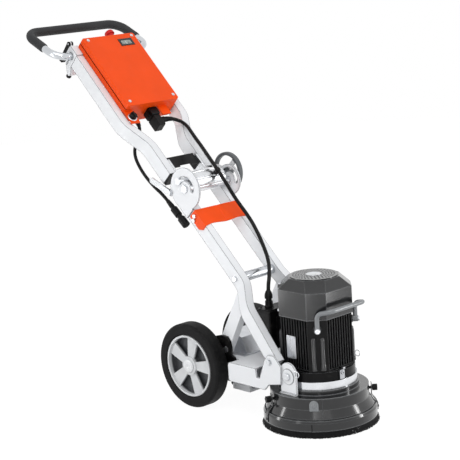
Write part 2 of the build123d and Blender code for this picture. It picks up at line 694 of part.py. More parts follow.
def motor_body():
    """Finned motor housing with bearing seats and a round foot flange."""
    body = upright_prism(chamfered_square(BODY_HALF, BODY_CHAMFER), BODY_BASE, BODY_TOP)
    slot = Pos(BODY_HALF, 0) * Rectangle(22, 6.2)
    slots = Sketch()
    for quarter in range(4):
        for count in range(10):
            slots += Rot(0, 0, 90 * quarter) * Pos(0, 9.8 * (count - 4.5)) * slot
    body -= upright_prism(slots, BODY_BASE + 6, BODY_TOP - 3)
    body += cylinder_up(FLANGE_R, FLANGE_BASE, BODY_BASE)
    for out in handle_sides():
        chamfer = out * CHAMFER_REACH + Vector(0, 0, HANDLE_FOOT_Z)
        body += rod(chamfer - out * 5, chamfer + out * 3, 11)
    body -= cylinder_up(70, 172, 290)
    body -= cylinder_up(30, 130, 180)
    return body - cylinder_up(26, 280, 320)


def handle_sides():
    """Outward directions of the two front chamfers, where the lifting handle is bolted."""
    return [Vector(1, -1, 0).normalized(), Vector(1, 1, 0).normalized()]


def fan_cover():
    """Sheet cover over the cooling fan, drawn in towards its round grille."""
    def shell(inset, base, top):
        square = chamfered_square(COVER_HALF - inset, COVER_CHAMFER - inset / 2)
        wall = upright_prism(square, base, COVER_EDGE)
        low = Plane.XY.offset(COVER_EDGE) * square
        high = Plane.XY.offset(top) * chamfered_square(COVER_TOP_HALF - inset, COVER_TOP_HALF * OCTAGON)
        return wall + loft([low, high], ruled=True)

    cover = shell(0, COVER_BASE, COVER_TOP) - shell(2.9, COVER_BASE - 1, COVER_TOP - 2.5)
    return cover - cylinder_up(63, COVER_TOP - 20, COVER_TOP + 5)


def fan_grille():
    """Round perforated grille with a plain middle."""
    grille = Circle(67)
    for row in range(5):
        radius = 27 + 7.6 * row
        holes = 16 + 5 * row
        for count in range(holes):
            grille -= Rot(0, 0, 360 * (count + 0.5 * (row % 2)) / holes) * Pos(radius, 0) * Circle(2.6)
    return upright_prism(grille, COVER_TOP, COVER_TOP + 2.5)


def motor_stator():
    """Wound stator ring pressed into the motor housing."""
    return ring(70, 46, 186, 280)


def motor_bearings():
    """Lower and upper ball bearings of the motor."""
    return [ring(30, SHAFT_R, 146, 164), ring(26, SHAFT_R, 291, 304)]


def rotor_shaft():
    """Rotor core on its shaft."""
    shaft = cylinder_up(SHAFT_R - RUN_GAP, 62, 352) + cylinder_up(44.5, 190, 276)
    return shaft + cylinder_up(19, 166, 190)


def cooling_fan():
    """Radial cooling fan on the top of the shaft."""
    fan = cylinder_up(72, 322, 325) + cylinder_up(20, 322, 350)
    blade = Pos(46, 0, 337) * Box(50, 3, 24)
    for count in range(9):
        fan += Rot(0, 0, 40 * count) * blade
    return fan - cylinder_up(SHAFT_R - RUN_GAP, 300, 360)


def terminal_box():
    """Terminal box behind the motor, on a short neck."""
    box = fillet(upright_box((-173, -125), (-55, 55), (192, 308)).edges().filter_by(Axis.Z), 5)
    lid = upright_box((-174.5, -123.5), (-56.5, 56.5), (300, 304))
    return box + lid + upright_box((-126, -BODY_HALF), (-30, 30), (215, 285))


def motor_gland():
    """Gland on the terminal box for the motor cable."""
    x, y, top = MOTOR_GLAND
    gland = extrude(Plane(origin=(x, y, top - 28)) * RegularPolygon(13, 6), amount=8)
    gland += rod((x, y, top - 20), (x, y, top - 8), 11)
    return gland + rod((x, y, top - 8), (x, y, top), 8.5)


def adapter_ring():
    """Cast ring between the motor flange and the shroud."""
    return ring(ADAPTER_R, 40, ADAPTER_BASE, FLANGE_BASE)


def shroud():
    """Spun dust shroud: dome, shelf, wall and flare."""
    outer = [(40, 118), (112, 118), (112, SHELF_Z), (SHROUD_R, SHELF_Z), (SHROUD_R, 72),
             (SKIRT_WALL_R, 50), (SKIRT_WALL_R, 22)]
    inner = [(148, 22), (148, 48.5), (134, 70.5), (134, 100), (108, 100), (108, 114), (40, 114)]
    shell = revolve(Plane.XZ * make_face(Polyline(*outer, *inner, close=True)), axis=Axis.Z)
    for angle in KNOB_ANGLES:
        shell -= Rot(0, 0, angle) * Pos(136, 0, KNOB_Z) * Rot(0, 90, 0) * Cylinder(4 + RUN_GAP, 20)
    return shell


def skirt_knob(angle):
    """Thumb screw that guides the floating skirt."""
    star = Circle(9)
    for count in range(6):
        star -= Rot(0, 0, 60 * count) * Pos(10, 0) * Circle(2.6)
    knob = extrude(Plane(origin=(KNOB_FACE, 0, KNOB_Z), z_dir=(1, 0, 0)) * star, amount=14)
    return Rot(0, 0, angle) * (knob + rod((133, 0, KNOB_Z), (KNOB_FACE + 0.5, 0, KNOB_Z), 4))


def lift_handle():
    """Bent round bar across the front of the motor."""
    side = 76.8
    right = [(side, -side, HANDLE_FOOT_Z), (side, -side, 332), (120, -70, 343)]
    left = [(x, -y, z) for x, y, z in reversed(right)]
    bar = bent_tube(right + left, 20, 6.5)
    for out in handle_sides():
        chamfer = out * CHAMFER_REACH + Vector(0, 0, HANDLE_FOOT_Z)
        bar += rod(chamfer + out * 3, chamfer + out * 17.6, 9)
    return bar


def head_brackets():
    """Arched side plates that hang the head in the chassis lugs."""
    half = 29.5
    arch = upright_box((-half, half), (-BRACKET_OUT, -BRACKET_IN), (SHELF_Z, 165))
    arch += rod((0, -BRACKET_OUT, 165), (0, -BRACKET_IN, 165), half)
    arch += rod((TILT_X, -BRACKET_OUT - 2, TILT_Z), (TILT_X, -BRACKET_OUT, TILT_Z), 22)
    foot = upright_box((-half, half), (-BRACKET_OUT - 5, -BRACKET_OUT), (SHELF_Z, SHELF_Z + 5))
    arch += foot
    arch -= rod((TILT_X, -130, TILT_Z), (TILT_X, -100, TILT_Z), PIN_R + RUN_GAP)
    return both_sides(arch)


def quick_pin():
    """Right-hand pull pin that the head tilts on."""
    pin = rod((TILT_X, -108, TILT_Z), (TILT_X, -BRACKET_OUT - 2.5, TILT_Z), PIN_R)
    face = -BRACKET_OUT - 2.3
    pin += rod((TILT_X, face, TILT_Z), (TILT_X, face - 7, TILT_Z), 10)
    return fillet(pin.edges().filter_by(GeomType.CIRCLE).sort_by(Axis.Y)[0], 2)


def head_fasteners():
    """Handle bolts, flange bolts and cover screws of the head."""
    bolts = []
    for out in handle_sides():
        chamfer = out * CHAMFER_REACH + Vector(0, 0, HANDLE_FOOT_Z)
        bolts.append(hex_head(chamfer + out * 17.6, out, 13, 5))
    for count in range(4):
        turn = math.radians(90 * count)
        out = Vector(math.cos(turn), math.sin(turn), 0)
        bolts.append(hex_head(out * 95 + Vector(0, 0, BODY_BASE), (0, 0, 1), 10, 5))
    return bolts


# Spindle and floating skirt

def tool_plate():
    """Drive plate on the motor shaft with six tool holes."""
    plate = cylinder_up(PLATE_R, PLATE_BASE, PLATE_TOP) + cylinder_up(32, PLATE_TOP, 98)
    plate -= cylinder_up(SHAFT_R - RUN_GAP, 62, 110)
    plate -= cylinder_up(9, 0, 70)
    for count in range(SEGMENTS):
        turn = math.radians(60 * count + 30)
        hole = Pos(TOOL_PCD / 2 * math.cos(turn), TOOL_PCD / 2 * math.sin(turn), 24)
        plate -= hole * Cylinder(TOOL_HOLE_R, 20)
    return plate


def diamond_segments():
    """Grinding segments under the drive plate."""
    block = Pos(112, 0, PLATE_BASE / 2) * Box(34, 22, PLATE_BASE)
    block = fillet(block.edges().filter_by(Axis.Z), 5)
    return [Rot(0, 0, 60 * count) * block for count in range(SEGMENTS)]


def skirt_ring():
    """Floating lower ring that slides on the shroud's wall."""
    inside = SKIRT_WALL_R + 0.4
    section = Polyline((inside, SKIRT_BASE), (SKIRT_R, SKIRT_BASE), (SKIRT_R, 40), (156, SKIRT_TOP),
                       (inside, SKIRT_TOP), close=True)
    return revolve(Plane.XZ * make_face(section), axis=Axis.Z)


def brush_section():
    """One strip of the brush: two staggered rows of strands on a slice of backing."""
    step = 360 / BRUSH_SECTIONS / SECTION_STRANDS
    outer = CenterArc((0, 0), SKIRT_R - 0.3, 0.1, 360 / BRUSH_SECTIONS - 0.2)
    inner = CenterArc((0, 0), 153.5, 0.1, 360 / BRUSH_SECTIONS - 0.2)
    ends = [Line(outer @ 0, inner @ 0), Line(outer @ 1, inner @ 1)]
    backing = upright_prism(make_face([outer, inner, *ends]), SKIRT_BASE - 3, SKIRT_BASE)
    strands = []
    for top_r, foot_r, offset in ((158, BRUSH_R - 1, 0.25), (155.2, 158.5, 0.75)):
        top = Plane(origin=(top_r, 0, SKIRT_BASE - 2), x_dir=(1, 0, 0))
        foot = Plane(origin=(foot_r, 0, 0.5), x_dir=(1, 0, 0))
        strand = loft([top * Rectangle(1.8, 2.2), foot * Rectangle(2.0, 2.6)], ruled=True)
        for count in range(SECTION_STRANDS):
            strands.append(Rot(0, 0, step * (count + offset)) * strand)
    return backing.fuse(*strands)


def skirt_brush():
    """Brush under the skirt, in strips laid end to end."""
    strip = brush_section()
    return [Rot(0, 0, 360 * count / BRUSH_SECTIONS) * strip for count in range(BRUSH_SECTIONS)]


# Cords

def cord(points, radius):
    """Cord along straight runs joined by arcs, each as large as its runs allow."""
    runs = [b - a for a, b in zip(points, points[1:])]
    bends = []
    for before, after in zip(runs, runs[1:]):
        turn = math.radians(before.get_angle(after))
        bends.append(0.45 * min(before.length, after.length) / math.tan(turn / 2))
    path = FilletPolyline(*points, radius=bends)
    section = Plane(origin=path @ 0, z_dir=path % 0) * Circle(radius)
    tube = sweep(section, path=path)
    plain = math.pi * radius ** 2 * path.length
    print("cord runs", [round(run.length) for run in runs], "bends", [round(bend) for bend in bends])
    print("cord length", round(path.length, 1), "volume over plain tube", round(tube.volume / plain, 4))
    return tube


CABLE_JOIN = (112, 31, 51)
CABLE_LOWER = [Vector(*MOTOR_GLAND), Vector(*MOTOR_GLAND) + Vector(0, 0, 33)]
CABLE_LOWER += [rail_point(s, n, y) for s, n, y in (
    (345, 25, -12), (300, 25, 20), (250, 18, 44), (196, 16, 60), (146, 22, 62), CABLE_JOIN)]
CABLE_UPPER = [rail_point(s, n, y) for s, n, y in (
    CABLE_JOIN, (78, 40, 40), (26, 62, 24), (-52, 66, 22), (-118, 50, 40), (-178, 32, 58), (-217, 17.5, 75),
    (-243, 6.5, 79), (-260, -1.5, 75), (-271.5, -7, 66), (-277, -10, 55), (-277, -10, 44))]
LEAD = [rail_point(s, n, y) for s, n, y in (
    (-302, -24, -50), (-286, -24, -50), (-270, -33, -51), (-259, -51, -53), (-253, -73, -56),
    (-245, -91, -58), (-229, -104, -60), (-205, -110, -62), (-163, -111, -65), (-108, -99, -71),
    (-56, -80, -76), (-12, -74, -79))]


def supply_plug():
    """Inline connector on the end of the supply lead, in two halves."""
    end = LEAD[-1]
    along = (LEAD[-1] - LEAD[-2]).normalized()

    def stage(radius, start, stop):
        return rod(end + along * start, end + along * stop, radius)

    return stage(7.5, 0, 12) + stage(11, 12, 40) + stage(8.5, 40, 54) + stage(12, 54, 82)


def nodes():
    """Every node of the machine by name, as one solid or a list of separate solids."""
    return {
        "lower_rails": both_sides(lower_rail()),
        "hinge_cheeks": hinge_cheeks(),
        "cross_band": cross_band(),
        "chassis_tray": chassis_tray(),
        "chassis_braces": chassis_braces(),
        "frame_bolts": frame_bolts() + [latch_stud()],
        "axle_carrier": axle_carrier(),
        "wheel_bearings": wheel_bearings(),
        "dust_port": dust_port(),
        "tyre_right": tyre(-1),
        "rim_right": wheel_rim(-1),
        "tyre_left": tyre(1),
        "rim_left": wheel_rim(1),
        "upper_rails": both_sides(upper_rail()),
        "hinge_drum": hinge_drum(),
        "clamp_rod": clamp_rod(),
        "rail_cross_plate": rail_cross_plate(),
        "control_box": control_box(),
        "control_lid": control_lid(),
        "lid_gasket": lid_gasket(),
        "lid_screws": lid_screws(),
        "hour_meter": hour_meter(),
        "power_module": power_module(),
        "cable_connector": cable_connector(),
        "supply_gland": supply_gland(),
        "bar_clamps": bar_clamp() + [mirror(piece, about=Plane.XZ) for piece in bar_clamp()],
        "clamp_lever_right": clamp_lever(),
        "clamp_lever_left": mirror(clamp_lever(), about=Plane.XZ),
        "handlebar_tube": handlebar_tube(),
        "handlebar_grip": handlebar_grip(),
        "estop_button": estop_button(),
        "start_switch": start_switch(),
        "fold_latch": fold_latch(),
        "handwheel": handwheel(),
        "motor_body": motor_body(),
        "motor_stator": motor_stator(),
        "motor_bearings": motor_bearings(),
        "fan_cover": fan_cover(),
        "fan_grille": fan_grille(),
        "terminal_box": terminal_box(),
        "motor_gland": motor_gland(),
        "adapter_ring": adapter_ring(),
        "shroud": shroud(),
        "lift_handle": lift_handle(),
        "head_brackets": head_brackets(),
        "head_fasteners": head_fasteners(),
        "quick_pin_right": quick_pin(),
        "quick_pin_left": mirror(quick_pin(), about=Plane.XZ),
        "skirt_knob_left": skirt_knob(KNOB_ANGLES[0]),
        "skirt_knob_right": skirt_knob(KNOB_ANGLES[1]),
        "rotor_shaft": rotor_shaft(),
        "cooling_fan": cooling_fan(),
        "tool_plate": tool_plate(),
        "diamond_segments": diamond_segments(),
        "skirt_ring": skirt_ring(),
        "skirt_brush": skirt_brush(),
        "motor_cable_lower": cord(CABLE_LOWER, CABLE_R),
        "motor_cable_upper": cord(CABLE_UPPER, CABLE_R),
        "supply_lead": cord(LEAD, LEAD_R),
        "supply_plug": supply_plug(),
    }


os.makedirs("parts", exist_ok=True)
for name, shape in nodes().items():
    pieces = shape if isinstance(shape, list) else [shape]
    solids = [solid for piece in pieces for solid in piece.solids()]
    placed = [Pos(SPINDLE_X, 0, 0) * solid for solid in solids]
    export_step(placed[0] if len(placed) == 1 else Compound(placed), f"parts/{name}.step")
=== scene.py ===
import json
import math
import random

import bmesh
import bpy
from mathutils import Matrix, Vector

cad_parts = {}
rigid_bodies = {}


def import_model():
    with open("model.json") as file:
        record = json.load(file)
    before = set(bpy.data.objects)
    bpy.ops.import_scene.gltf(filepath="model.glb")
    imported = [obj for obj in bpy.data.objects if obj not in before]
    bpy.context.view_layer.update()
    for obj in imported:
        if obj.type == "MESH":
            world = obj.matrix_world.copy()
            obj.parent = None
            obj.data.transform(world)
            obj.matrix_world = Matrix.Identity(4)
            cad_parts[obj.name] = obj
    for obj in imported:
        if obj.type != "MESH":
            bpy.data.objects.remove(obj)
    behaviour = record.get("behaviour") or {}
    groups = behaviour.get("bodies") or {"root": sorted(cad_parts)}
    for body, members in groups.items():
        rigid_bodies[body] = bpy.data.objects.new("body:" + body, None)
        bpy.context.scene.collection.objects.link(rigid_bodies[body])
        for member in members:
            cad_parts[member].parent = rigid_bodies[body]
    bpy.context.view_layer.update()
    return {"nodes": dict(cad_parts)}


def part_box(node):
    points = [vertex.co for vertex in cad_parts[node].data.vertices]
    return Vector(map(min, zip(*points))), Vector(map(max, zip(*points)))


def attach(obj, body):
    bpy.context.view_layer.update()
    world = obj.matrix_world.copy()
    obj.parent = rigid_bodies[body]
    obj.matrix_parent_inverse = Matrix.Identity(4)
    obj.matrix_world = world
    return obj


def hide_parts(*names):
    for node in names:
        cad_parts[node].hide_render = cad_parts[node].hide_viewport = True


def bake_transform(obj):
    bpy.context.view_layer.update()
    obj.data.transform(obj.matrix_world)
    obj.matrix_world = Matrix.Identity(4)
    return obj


for leftover in list(bpy.data.objects):
    bpy.data.objects.remove(leftover)

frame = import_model()
NODES = frame["nodes"]
random.seed(7)

# Lengths are millimetres, measured from the spindle axis at floor level, and become metres in at().
MM = 0.001
ROOT2 = math.sqrt(2)
SPINDLE_X = sum(corner.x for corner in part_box("fan_grille")) / 2 / MM
RAIL_FOOT_X = -422.4
RAIL_FOOT_Z = 621.3
DOWN_RAIL = Vector((1, 0, -1)).normalized()
OFF_RAIL = Vector((1, 0, 1)).normalized()
LEFT = Vector((0, 1, 0))
RIGHT = Vector((0, -1, 0))
UP = Vector((0, 0, 1))
FORWARD = Vector((1, 0, 0))

# Handlebar
GRIP_R = 14.0
BAR_R = 11.0
BAR_BEND_R = 45.0
GRIP_ROUNDING = 7.0
GRIP_LIP = 0.6
GRIP_STEPS = 12
GRIP_START = (-900.1, -182.0, 1040.8)
GRIP_CORNER = (-993.0, -182.0, 1085.0)

# Wheels, skirt and shroud. A place round the spindle is an angle in degrees, a radius and a height.
# A row of the brush is its radius at the top, its radius at the floor and its stagger.
WHEEL_X = -380.0
WHEEL_Z = 125.0
RIM_RECESS = (134.5, 139.5)
TREAD_R = (119.0, 124.5)
SKIRT_BASE = 18.0
BRUSH_IN_R = 153.6
BRUSH_OUT_R = 159.2
BRUSH_BACKING = 3.2
BRUSH_ROOT = 2.8
BRUSH_ROWS = ((158.2, 163.6, 0.0), (156.4, 160.8, 0.34), (154.8, 158.0, 0.67))
TUFTS_PER_ROW = 210
TUFT_SIDES = 5
TUFT_HALF_WIDTH = 2.3
TUFT_TAPER = 0.1
TUFT_HALF_DEPTH = 0.75
TUFT_SPREAD = 0.9
TUFT_FOOT_Z = (0.4, 1.6)
TUFT_LEAN_RADIANS = 0.006
KNOB_ANGLES = (47, 246)
GUIDE_SCREW = (161.6, 0, 29)
SHROUD_TAB_PLACE = (-53.4, 137.2, 85)
RING_JOINT_PLACE = (-55.5, 159.2, 29)
SEAM_ANGLE = -44
SEAM_WALL = ((138.1, 103), (138.1, 88), (138.2, 73), (144.5, 62.5), (150.6, 53))

# Motor
COVER_HALF = 91.0
COVER_CHAMFER = 39.0
COVER_SCREW_Z = 322.0
BODY_HALF = 88.0
BODY_CHAMFER = 38.0
COLUMN_FOOT_Z = 172.0
COLUMN_ASIDE = 12.0
COLUMN_SINK = 1.0
GRILLE_TOP = 418.5
FLANGE_CLIP_PLACE = (-9.4, 101.4, 155)
RATING_PLATE = (34, 64)
RATING_PLATE_PLACE = (-13, -87.9, 229)
RATING_SCREW_INSET = 3.5
TERMINAL_SCREWS_X = (-166, -132)
TERMINAL_SCREW_Y = 47.0
TERMINAL_TOP = 308.0

# Control box and rail fittings, placed by on_rail()
SWITCH_PLACE = (-292, 0, -87)
STOP_PLACE = (-592, 0, 45)
METER_PLACE = (-558, 33.02, 50.5)
METER_FACE = 33.6
METER_READING = "00136"
NUMERAL_PITCH = 6.6
NUMERAL_BAR = (3.2, 0.9)
RAIL_PLUG_PLACE = (-75, -22.5, 72)
CLAMP_FOOT_PLACE = (-556, -76, 115.5)

# Leg and bracket fittings on the left, which repeat on the right
LEG_WASHER_PLACE = (-65, 127, 187)
BRACKET_RING_PLACE = (36, 124.6, 168)
BRACKET_RING_R = 8.6
BRACKET_SCREW_PLACE = (25.5, 121, 168)

# Handwheel, duct and brace, where a finish changes
HANDWHEEL_PLACE = (-30, 20.5, 0)
HANDWHEEL_RIM_R = 45.5
HANDWHEEL_HUB_R = 15.5
DUCT_REAR = -306.5
DUCT_FOOT_TOP = 105.0
BRACE_TUBE_HALF = 62.0

# Cords, placed by on_rail() from the gland on.
CABLE_R = 5.5
LEAD_R = 5.0
BOOT_LENGTH = 22.0
MOTOR_BOOT_R = 11.6
CONNECTOR_BOOT_R = 8.2
PLUG_BOOT_R = 7.6
SUPPLY_BOOT_R = 8.4
BOOT_RIBS = 6
BOOT_RIB = 0.35
BOOT_WALL = 0.9
BOOT_GAP = 0.08
CLIP_REACH = 14.6
MOTOR_GLAND = (-150.0, -31.0, 336.0)
GLAND_RISE = 33.0
CABLE_JOIN = (112, 31, 51)
LOWER_ROUTE = [(345, 25, -12), (300, 25, 20), (250, 18, 44), (196, 16, 60), (146, 22, 62), CABLE_JOIN]
UPPER_ROUTE = [CABLE_JOIN, (78, 40, 40), (26, 62, 24), (-52, 66, 22), (-118, 50, 40), (-178, 32, 58),
               (-217, 17.5, 75), (-243, 6.5, 79), (-260, -1.5, 75), (-271.5, -7, 66), (-277, -10, 55),
               (-277, -10, 44)]
LEAD_ROUTE = [(-302, -24, -50), (-286, -24, -50), (-270, -33, -51), (-259, -51, -53), (-253, -73, -56),
              (-245, -91, -58), (-229, -104, -60), (-205, -110, -62), (-163, -111, -65), (-108, -99, -71),
              (-56, -80, -76), (-12, -74, -79)]

# Floor, and the camera fitted to the photo, with its place in metres
FLOOR_R = 6000.0
FLOOR_DROP = 0.5
CAMERA_PLACE = (3.11909, -2.81424, 1.35163)
CAMERA_AZIMUTH = math.radians(47.05)
CAMERA_ELEVATION = math.radians(11.55)
CAMERA_ROLL = math.radians(3.6)
CAMERA_LENS = 113.99


def at(x, y, z):
    """Point of the frame from millimetres about the spindle axis."""
    return Vector((x + SPINDLE_X, y, z)) * MM


def on_rail(s, n, y):
    """Point s down the rails, n in front of their face and y to the left."""
    return at(RAIL_FOOT_X + (s + n) / ROOT2, y, RAIL_FOOT_Z + (n - s) / ROOT2)


def stand(origin, z_dir, x_dir):
    """Matrix from local millimetres to the frame, with local Z and X along two directions."""
    z_axis = Vector(z_dir).normalized()
    y_axis = z_axis.cross(Vector(x_dir)).normalized()
    x_axis = y_axis.cross(z_axis)
    turn = Matrix((x_axis, y_axis, z_axis)).transposed().to_4x4()
    return Matrix.Translation(origin) @ turn @ Matrix.Scale(MM, 4)


# Materials

def tone(red, green, blue):
    """Linear colour from display values between 0 and 255."""
    def linear(value):
        share = value / 255
        return share / 12.92 if share <= 0.04045 else ((share + 0.055) / 1.055) ** 2.4
    return (linear(red), linear(green), linear(blue), 1)


DUST_TONE = tone(168, 164, 158)
RAIL_MOTTLE = (tone(238, 240, 243), 14, 0.015)


class Finish:
    """A procedural material, built node by node round one Principled shader."""

    def __init__(self, name):
        self.material = bpy.data.materials.new(name)
        self.material.use_nodes = True
        self.tree = self.material.node_tree
        self.tree.nodes.clear()
        self.shader = self.add("BsdfPrincipled")
        self.add("OutputMaterial", Surface=self.shader.outputs["BSDF"])
        self.place = self.add("TexCoord").outputs["Object"]

    def add(self, kind, settings=None, **inputs):
        """New node, with its settings and its inputs as sockets or values."""
        node = self.tree.nodes.new("ShaderNode" + kind)
        for key, value in (settings or {}).items():
            setattr(node, key, value)
        for key, value in inputs.items():
            self.put(node, key.replace("_", " "), value)
        return node

    def put(self, node, socket, value):
        """Link or set one input."""
        if isinstance(value, bpy.types.NodeSocket):
            self.tree.links.new(value, node.inputs[socket])
        else:
            node.inputs[socket].default_value = value

    def math(self, operation, first, second=0.5):
        """Result of one operation on two values."""
        node = self.add("Math", {"operation": operation})
        self.put(node, 0, first)
        self.put(node, 1, second)
        return node.outputs[0]

    def noise(self, scale, detail=3.0, stretch=None):
        """Noise in metres, drawn out along the axes with small stretch values."""
        place = self.place
        if stretch:
            place = self.add("Mapping", Vector=place, Scale=stretch).outputs[0]
        return self.add("TexNoise", Vector=place, Scale=scale, Detail=detail).outputs["Fac"]

    def cells(self, scale):
        """Distance in a field of cells."""
        return self.add("TexVoronoi", Vector=self.place, Scale=scale).outputs["Distance"]

    def span(self, value, low, high, start=0.0, end=1.0):
        """Value carried from the range start to end over to low to high."""
        node = self.add("MapRange", Value=value, From_Min=start, From_Max=end, To_Min=low, To_Max=high)
        return node.outputs["Result"]

    def mix(self, share, first, second):
        """Colour between two colours."""
        return self.add("MixRGB", Fac=share, Color1=first, Color2=second).outputs["Color"]

    def mottle(self, colour, scale, swing):
        """Colour that drifts a little lighter and darker."""
        light = tuple(min(1.0, value * (1 + swing)) for value in colour[:3]) + (1,)
        dark = tuple(value * (1 - swing) for value in colour[:3]) + (1,)
        return self.mix(self.span(self.noise(scale), 0, 1, 0.3, 0.7), dark, light)

    def edges(self, width, chipped=True):
        """Soft normal and a mask of the edges, broken up where they are chipped."""
        soft = self.add("Bevel", {"samples": 6}, Radius=width * MM).outputs["Normal"]
        flat = self.add("NewGeometry").outputs["Normal"]
        dot = self.add("VectorMath", {"operation": "DOT_PRODUCT"})
        self.put(dot, 0, soft)
        self.put(dot, 1, flat)
        rim = self.span(dot.outputs["Value"], 1, 0, 0.80, 0.985)
        if chipped:
            rim = self.math("MULTIPLY", rim, self.span(self.noise(160), 0, 1, 0.42, 0.62))
        return soft, rim

    def shade(self, colour, reach, depth):
        """Painted shade: colour darkened where other surfaces stand close, as shadow gathers there."""
        near = self.add("AmbientOcclusion", {"samples": 8}, Distance=reach * MM).outputs["AO"]
        dark = self.span(near, depth, 0, 0.25, 0.9)
        return self.mix(dark, colour, tone(30, 31, 33))

    def about(self, centre):
        """Distance from an axis along Y through a point."""
        offset = self.add("VectorMath", {"operation": "SUBTRACT"})
        self.put(offset, 0, self.place)
        self.put(offset, 1, centre)
        split = self.add("SeparateXYZ", Vector=offset.outputs[0])
        flat = self.add("CombineXYZ", X=split.outputs["X"], Z=split.outputs["Z"]).outputs[0]
        radius = self.add("VectorMath", {"operation": "LENGTH"})
        self.put(radius, 0, flat)
        return radius.outputs["Value"]

    def relief(self, height, depth, normal=None):
        """Bump of a height in millimetres."""
        node = self.add("Bump", Height=height, Strength=1.0, Distance=depth * MM)
        if normal:
            self.put(node, "Normal", normal)
        return node.outputs["Normal"]

    def close(self, colour, rough, normal, metal=0.0, specular=0.5, coat=0.0):
        """Set the shader's own inputs."""
        for socket, value in (("Base Color", colour), ("Roughness", rough), ("Normal", normal),
                              ("Metallic", metal), ("Specular IOR Level", specular), ("Coat Weight", coat),
                              ("Coat Roughness", 0.12)):
            self.put(self.shader, socket, value)
        return self.material


def painted(name, colour, rough, edge_rub_and_highlight_tone, specular=0.5, grain=1200, depth=0.03, edge_rub_and_highlight_share=0.4, width=1.2,
            swing=0.05, dusty=0.05, chipped=True, coat=0.0):
    """Painted or moulded surface with fine grain, drifting colour, a little dust and an edge tone: rubbed
    paint on most finishes, a painted highlight on the cover, fin and anthracite paints.
    """
    finish = Finish(name)
    soft, rim = finish.edges(width, chipped)
    base = finish.mottle(colour, 14, swing)
    dust = finish.span(finish.noise(55, 5), 0, dusty, 0.55, 0.8)
    base = finish.mix(dust, base, DUST_TONE)
    # Edge tone: rubbed paint on most finishes, a painted highlight on the dark cover, fin and anthracite
    # paints.
    base = finish.mix(finish.math("MULTIPLY", rim, edge_rub_and_highlight_share), base, edge_rub_and_highlight_tone)
    rough_map = finish.span(finish.noise(35, 4), rough - 0.04, rough + 0.06)
    normal = finish.relief(finish.noise(grain, 2), depth, soft)
    return finish.close(base, rough_map, normal, specular=specular, coat=coat)


def rail_paint():
    """Pale paint, with painted shade as thin dark lines along its edges and in the corners between pieces."""
    finish = Finish("rail_paint")
    soft, rim = finish.edges(4.5, False)
    base = finish.mottle(*RAIL_MOTTLE)
    base = finish.mix(finish.span(finish.noise(55, 5), 0, 0.02, 0.55, 0.8), base, DUST_TONE)
    # Painted shade: a thin dark line along every edge.
    base = finish.mix(rim, base, tone(100, 103, 107))
    # Painted shade where other pieces stand close.
    base = finish.shade(base, 14, 0.35)
    return finish.close(base, finish.span(finish.noise(35, 4), 0.32, 0.42),
                        finish.relief(finish.noise(1100, 2), 0.015, soft), specular=0.4)


def metal(name, colour, rough, stretch, grain=500, depth=0.015, swing=0.06):
    """Bare metal with fine marks, drawn out along the axes with small stretch values, and painted shade where
    other surfaces stand close.
    """
    finish = Finish(name)
    soft, rim = finish.edges(0.8)
    marks = finish.noise(grain, 4, stretch)
    base = finish.mottle(colour, 25, swing)
    base = finish.mix(finish.math("MULTIPLY", rim, 0.4), base, tone(245, 246, 248))
    # Painted shade in grooves and where other pieces stand close.
    base = finish.shade(base, 10, 0.75)
    rough_map = finish.math("ADD", finish.span(marks, rough - 0.08, rough + 0.10),
                            finish.span(finish.noise(18), 0, 0.06))
    return finish.close(base, rough_map, finish.relief(marks, depth, soft), metal=1.0)


def zinc_steel():
    """Plated steel with a faint spangle."""
    finish = Finish("zinc_steel")
    soft, rim = finish.edges(0.6)
    spangle = finish.cells(420)
    base = finish.mix(finish.span(spangle, 0, 1, 0, 0.8), tone(196, 199, 204), tone(222, 224, 226))
    base = finish.mix(finish.math("MULTIPLY", rim, 0.5), base, tone(244, 244, 245))
    return finish.close(base, finish.span(finish.noise(90, 4), 0.22, 0.42),
                        finish.relief(finish.noise(700), 0.01, soft), metal=1.0)


def grip_foam():
    """Closed-cell foam: small pits and a dull sheen."""
    finish = Finish("grip_foam")
    pits = finish.cells(1300)
    base = finish.mottle(tone(36, 37, 39), 30, 0.25)
    base = finish.mix(finish.span(pits, 0.35, 0, 0.0, 0.35), base, tone(58, 60, 62))
    height = finish.math("ADD", pits, finish.math("MULTIPLY", finish.noise(160), 0.8))
    return finish.close(base, finish.span(finish.noise(60, 4), 0.52, 0.72),
                        finish.relief(height, 0.12), specular=0.4)


def tyre_rubber():
    """Solid tyre: moulded rings round the axle, a fine grain and a scuffed tread."""
    finish = Finish("tyre_rubber")
    radius = finish.about(at(WHEEL_X, 0, WHEEL_Z))
    rings = finish.math("SINE", finish.math("MULTIPLY", radius, 1700.0))
    tread = finish.span(radius, 0, 1, TREAD_R[0] * MM, TREAD_R[1] * MM)
    scuff = finish.math("MULTIPLY", tread, finish.span(finish.noise(90, 6), 0, 0.25, 0.5, 0.8))
    base = finish.mix(scuff, finish.mottle(tone(14, 14, 15), 22, 0.12), tone(58, 57, 55))
    height = finish.math("ADD", finish.math("MULTIPLY", rings, 0.35), finish.noise(600, 5))
    return finish.close(base, finish.span(finish.noise(40, 4), 0.5, 0.72),
                        finish.relief(height, 0.12), specular=0.15)


def rim_plastic():
    """Wheel centre: pale spokes and rim edge, dark in the recess behind them."""
    finish = Finish("rim_plastic")
    soft, rim = finish.edges(1.2)
    split = finish.add("SeparateXYZ", Vector=finish.place)
    outward = finish.math("ABSOLUTE", split.outputs["Y"])
    face = finish.span(outward, 0, 1, RIM_RECESS[0] * MM, RIM_RECESS[1] * MM)
    pale = finish.mottle(tone(206, 208, 210), 20, 0.04)
    base = finish.mix(face, finish.mottle(tone(70, 72, 75), 20, 0.1), pale)
    base = finish.mix(finish.math("MULTIPLY", rim, 0.4), base, tone(232, 233, 234))
    return finish.close(base, finish.span(finish.noise(60, 4), 0.38, 0.55),
                        finish.relief(finish.noise(800, 3), 0.02, soft), specular=0.45)


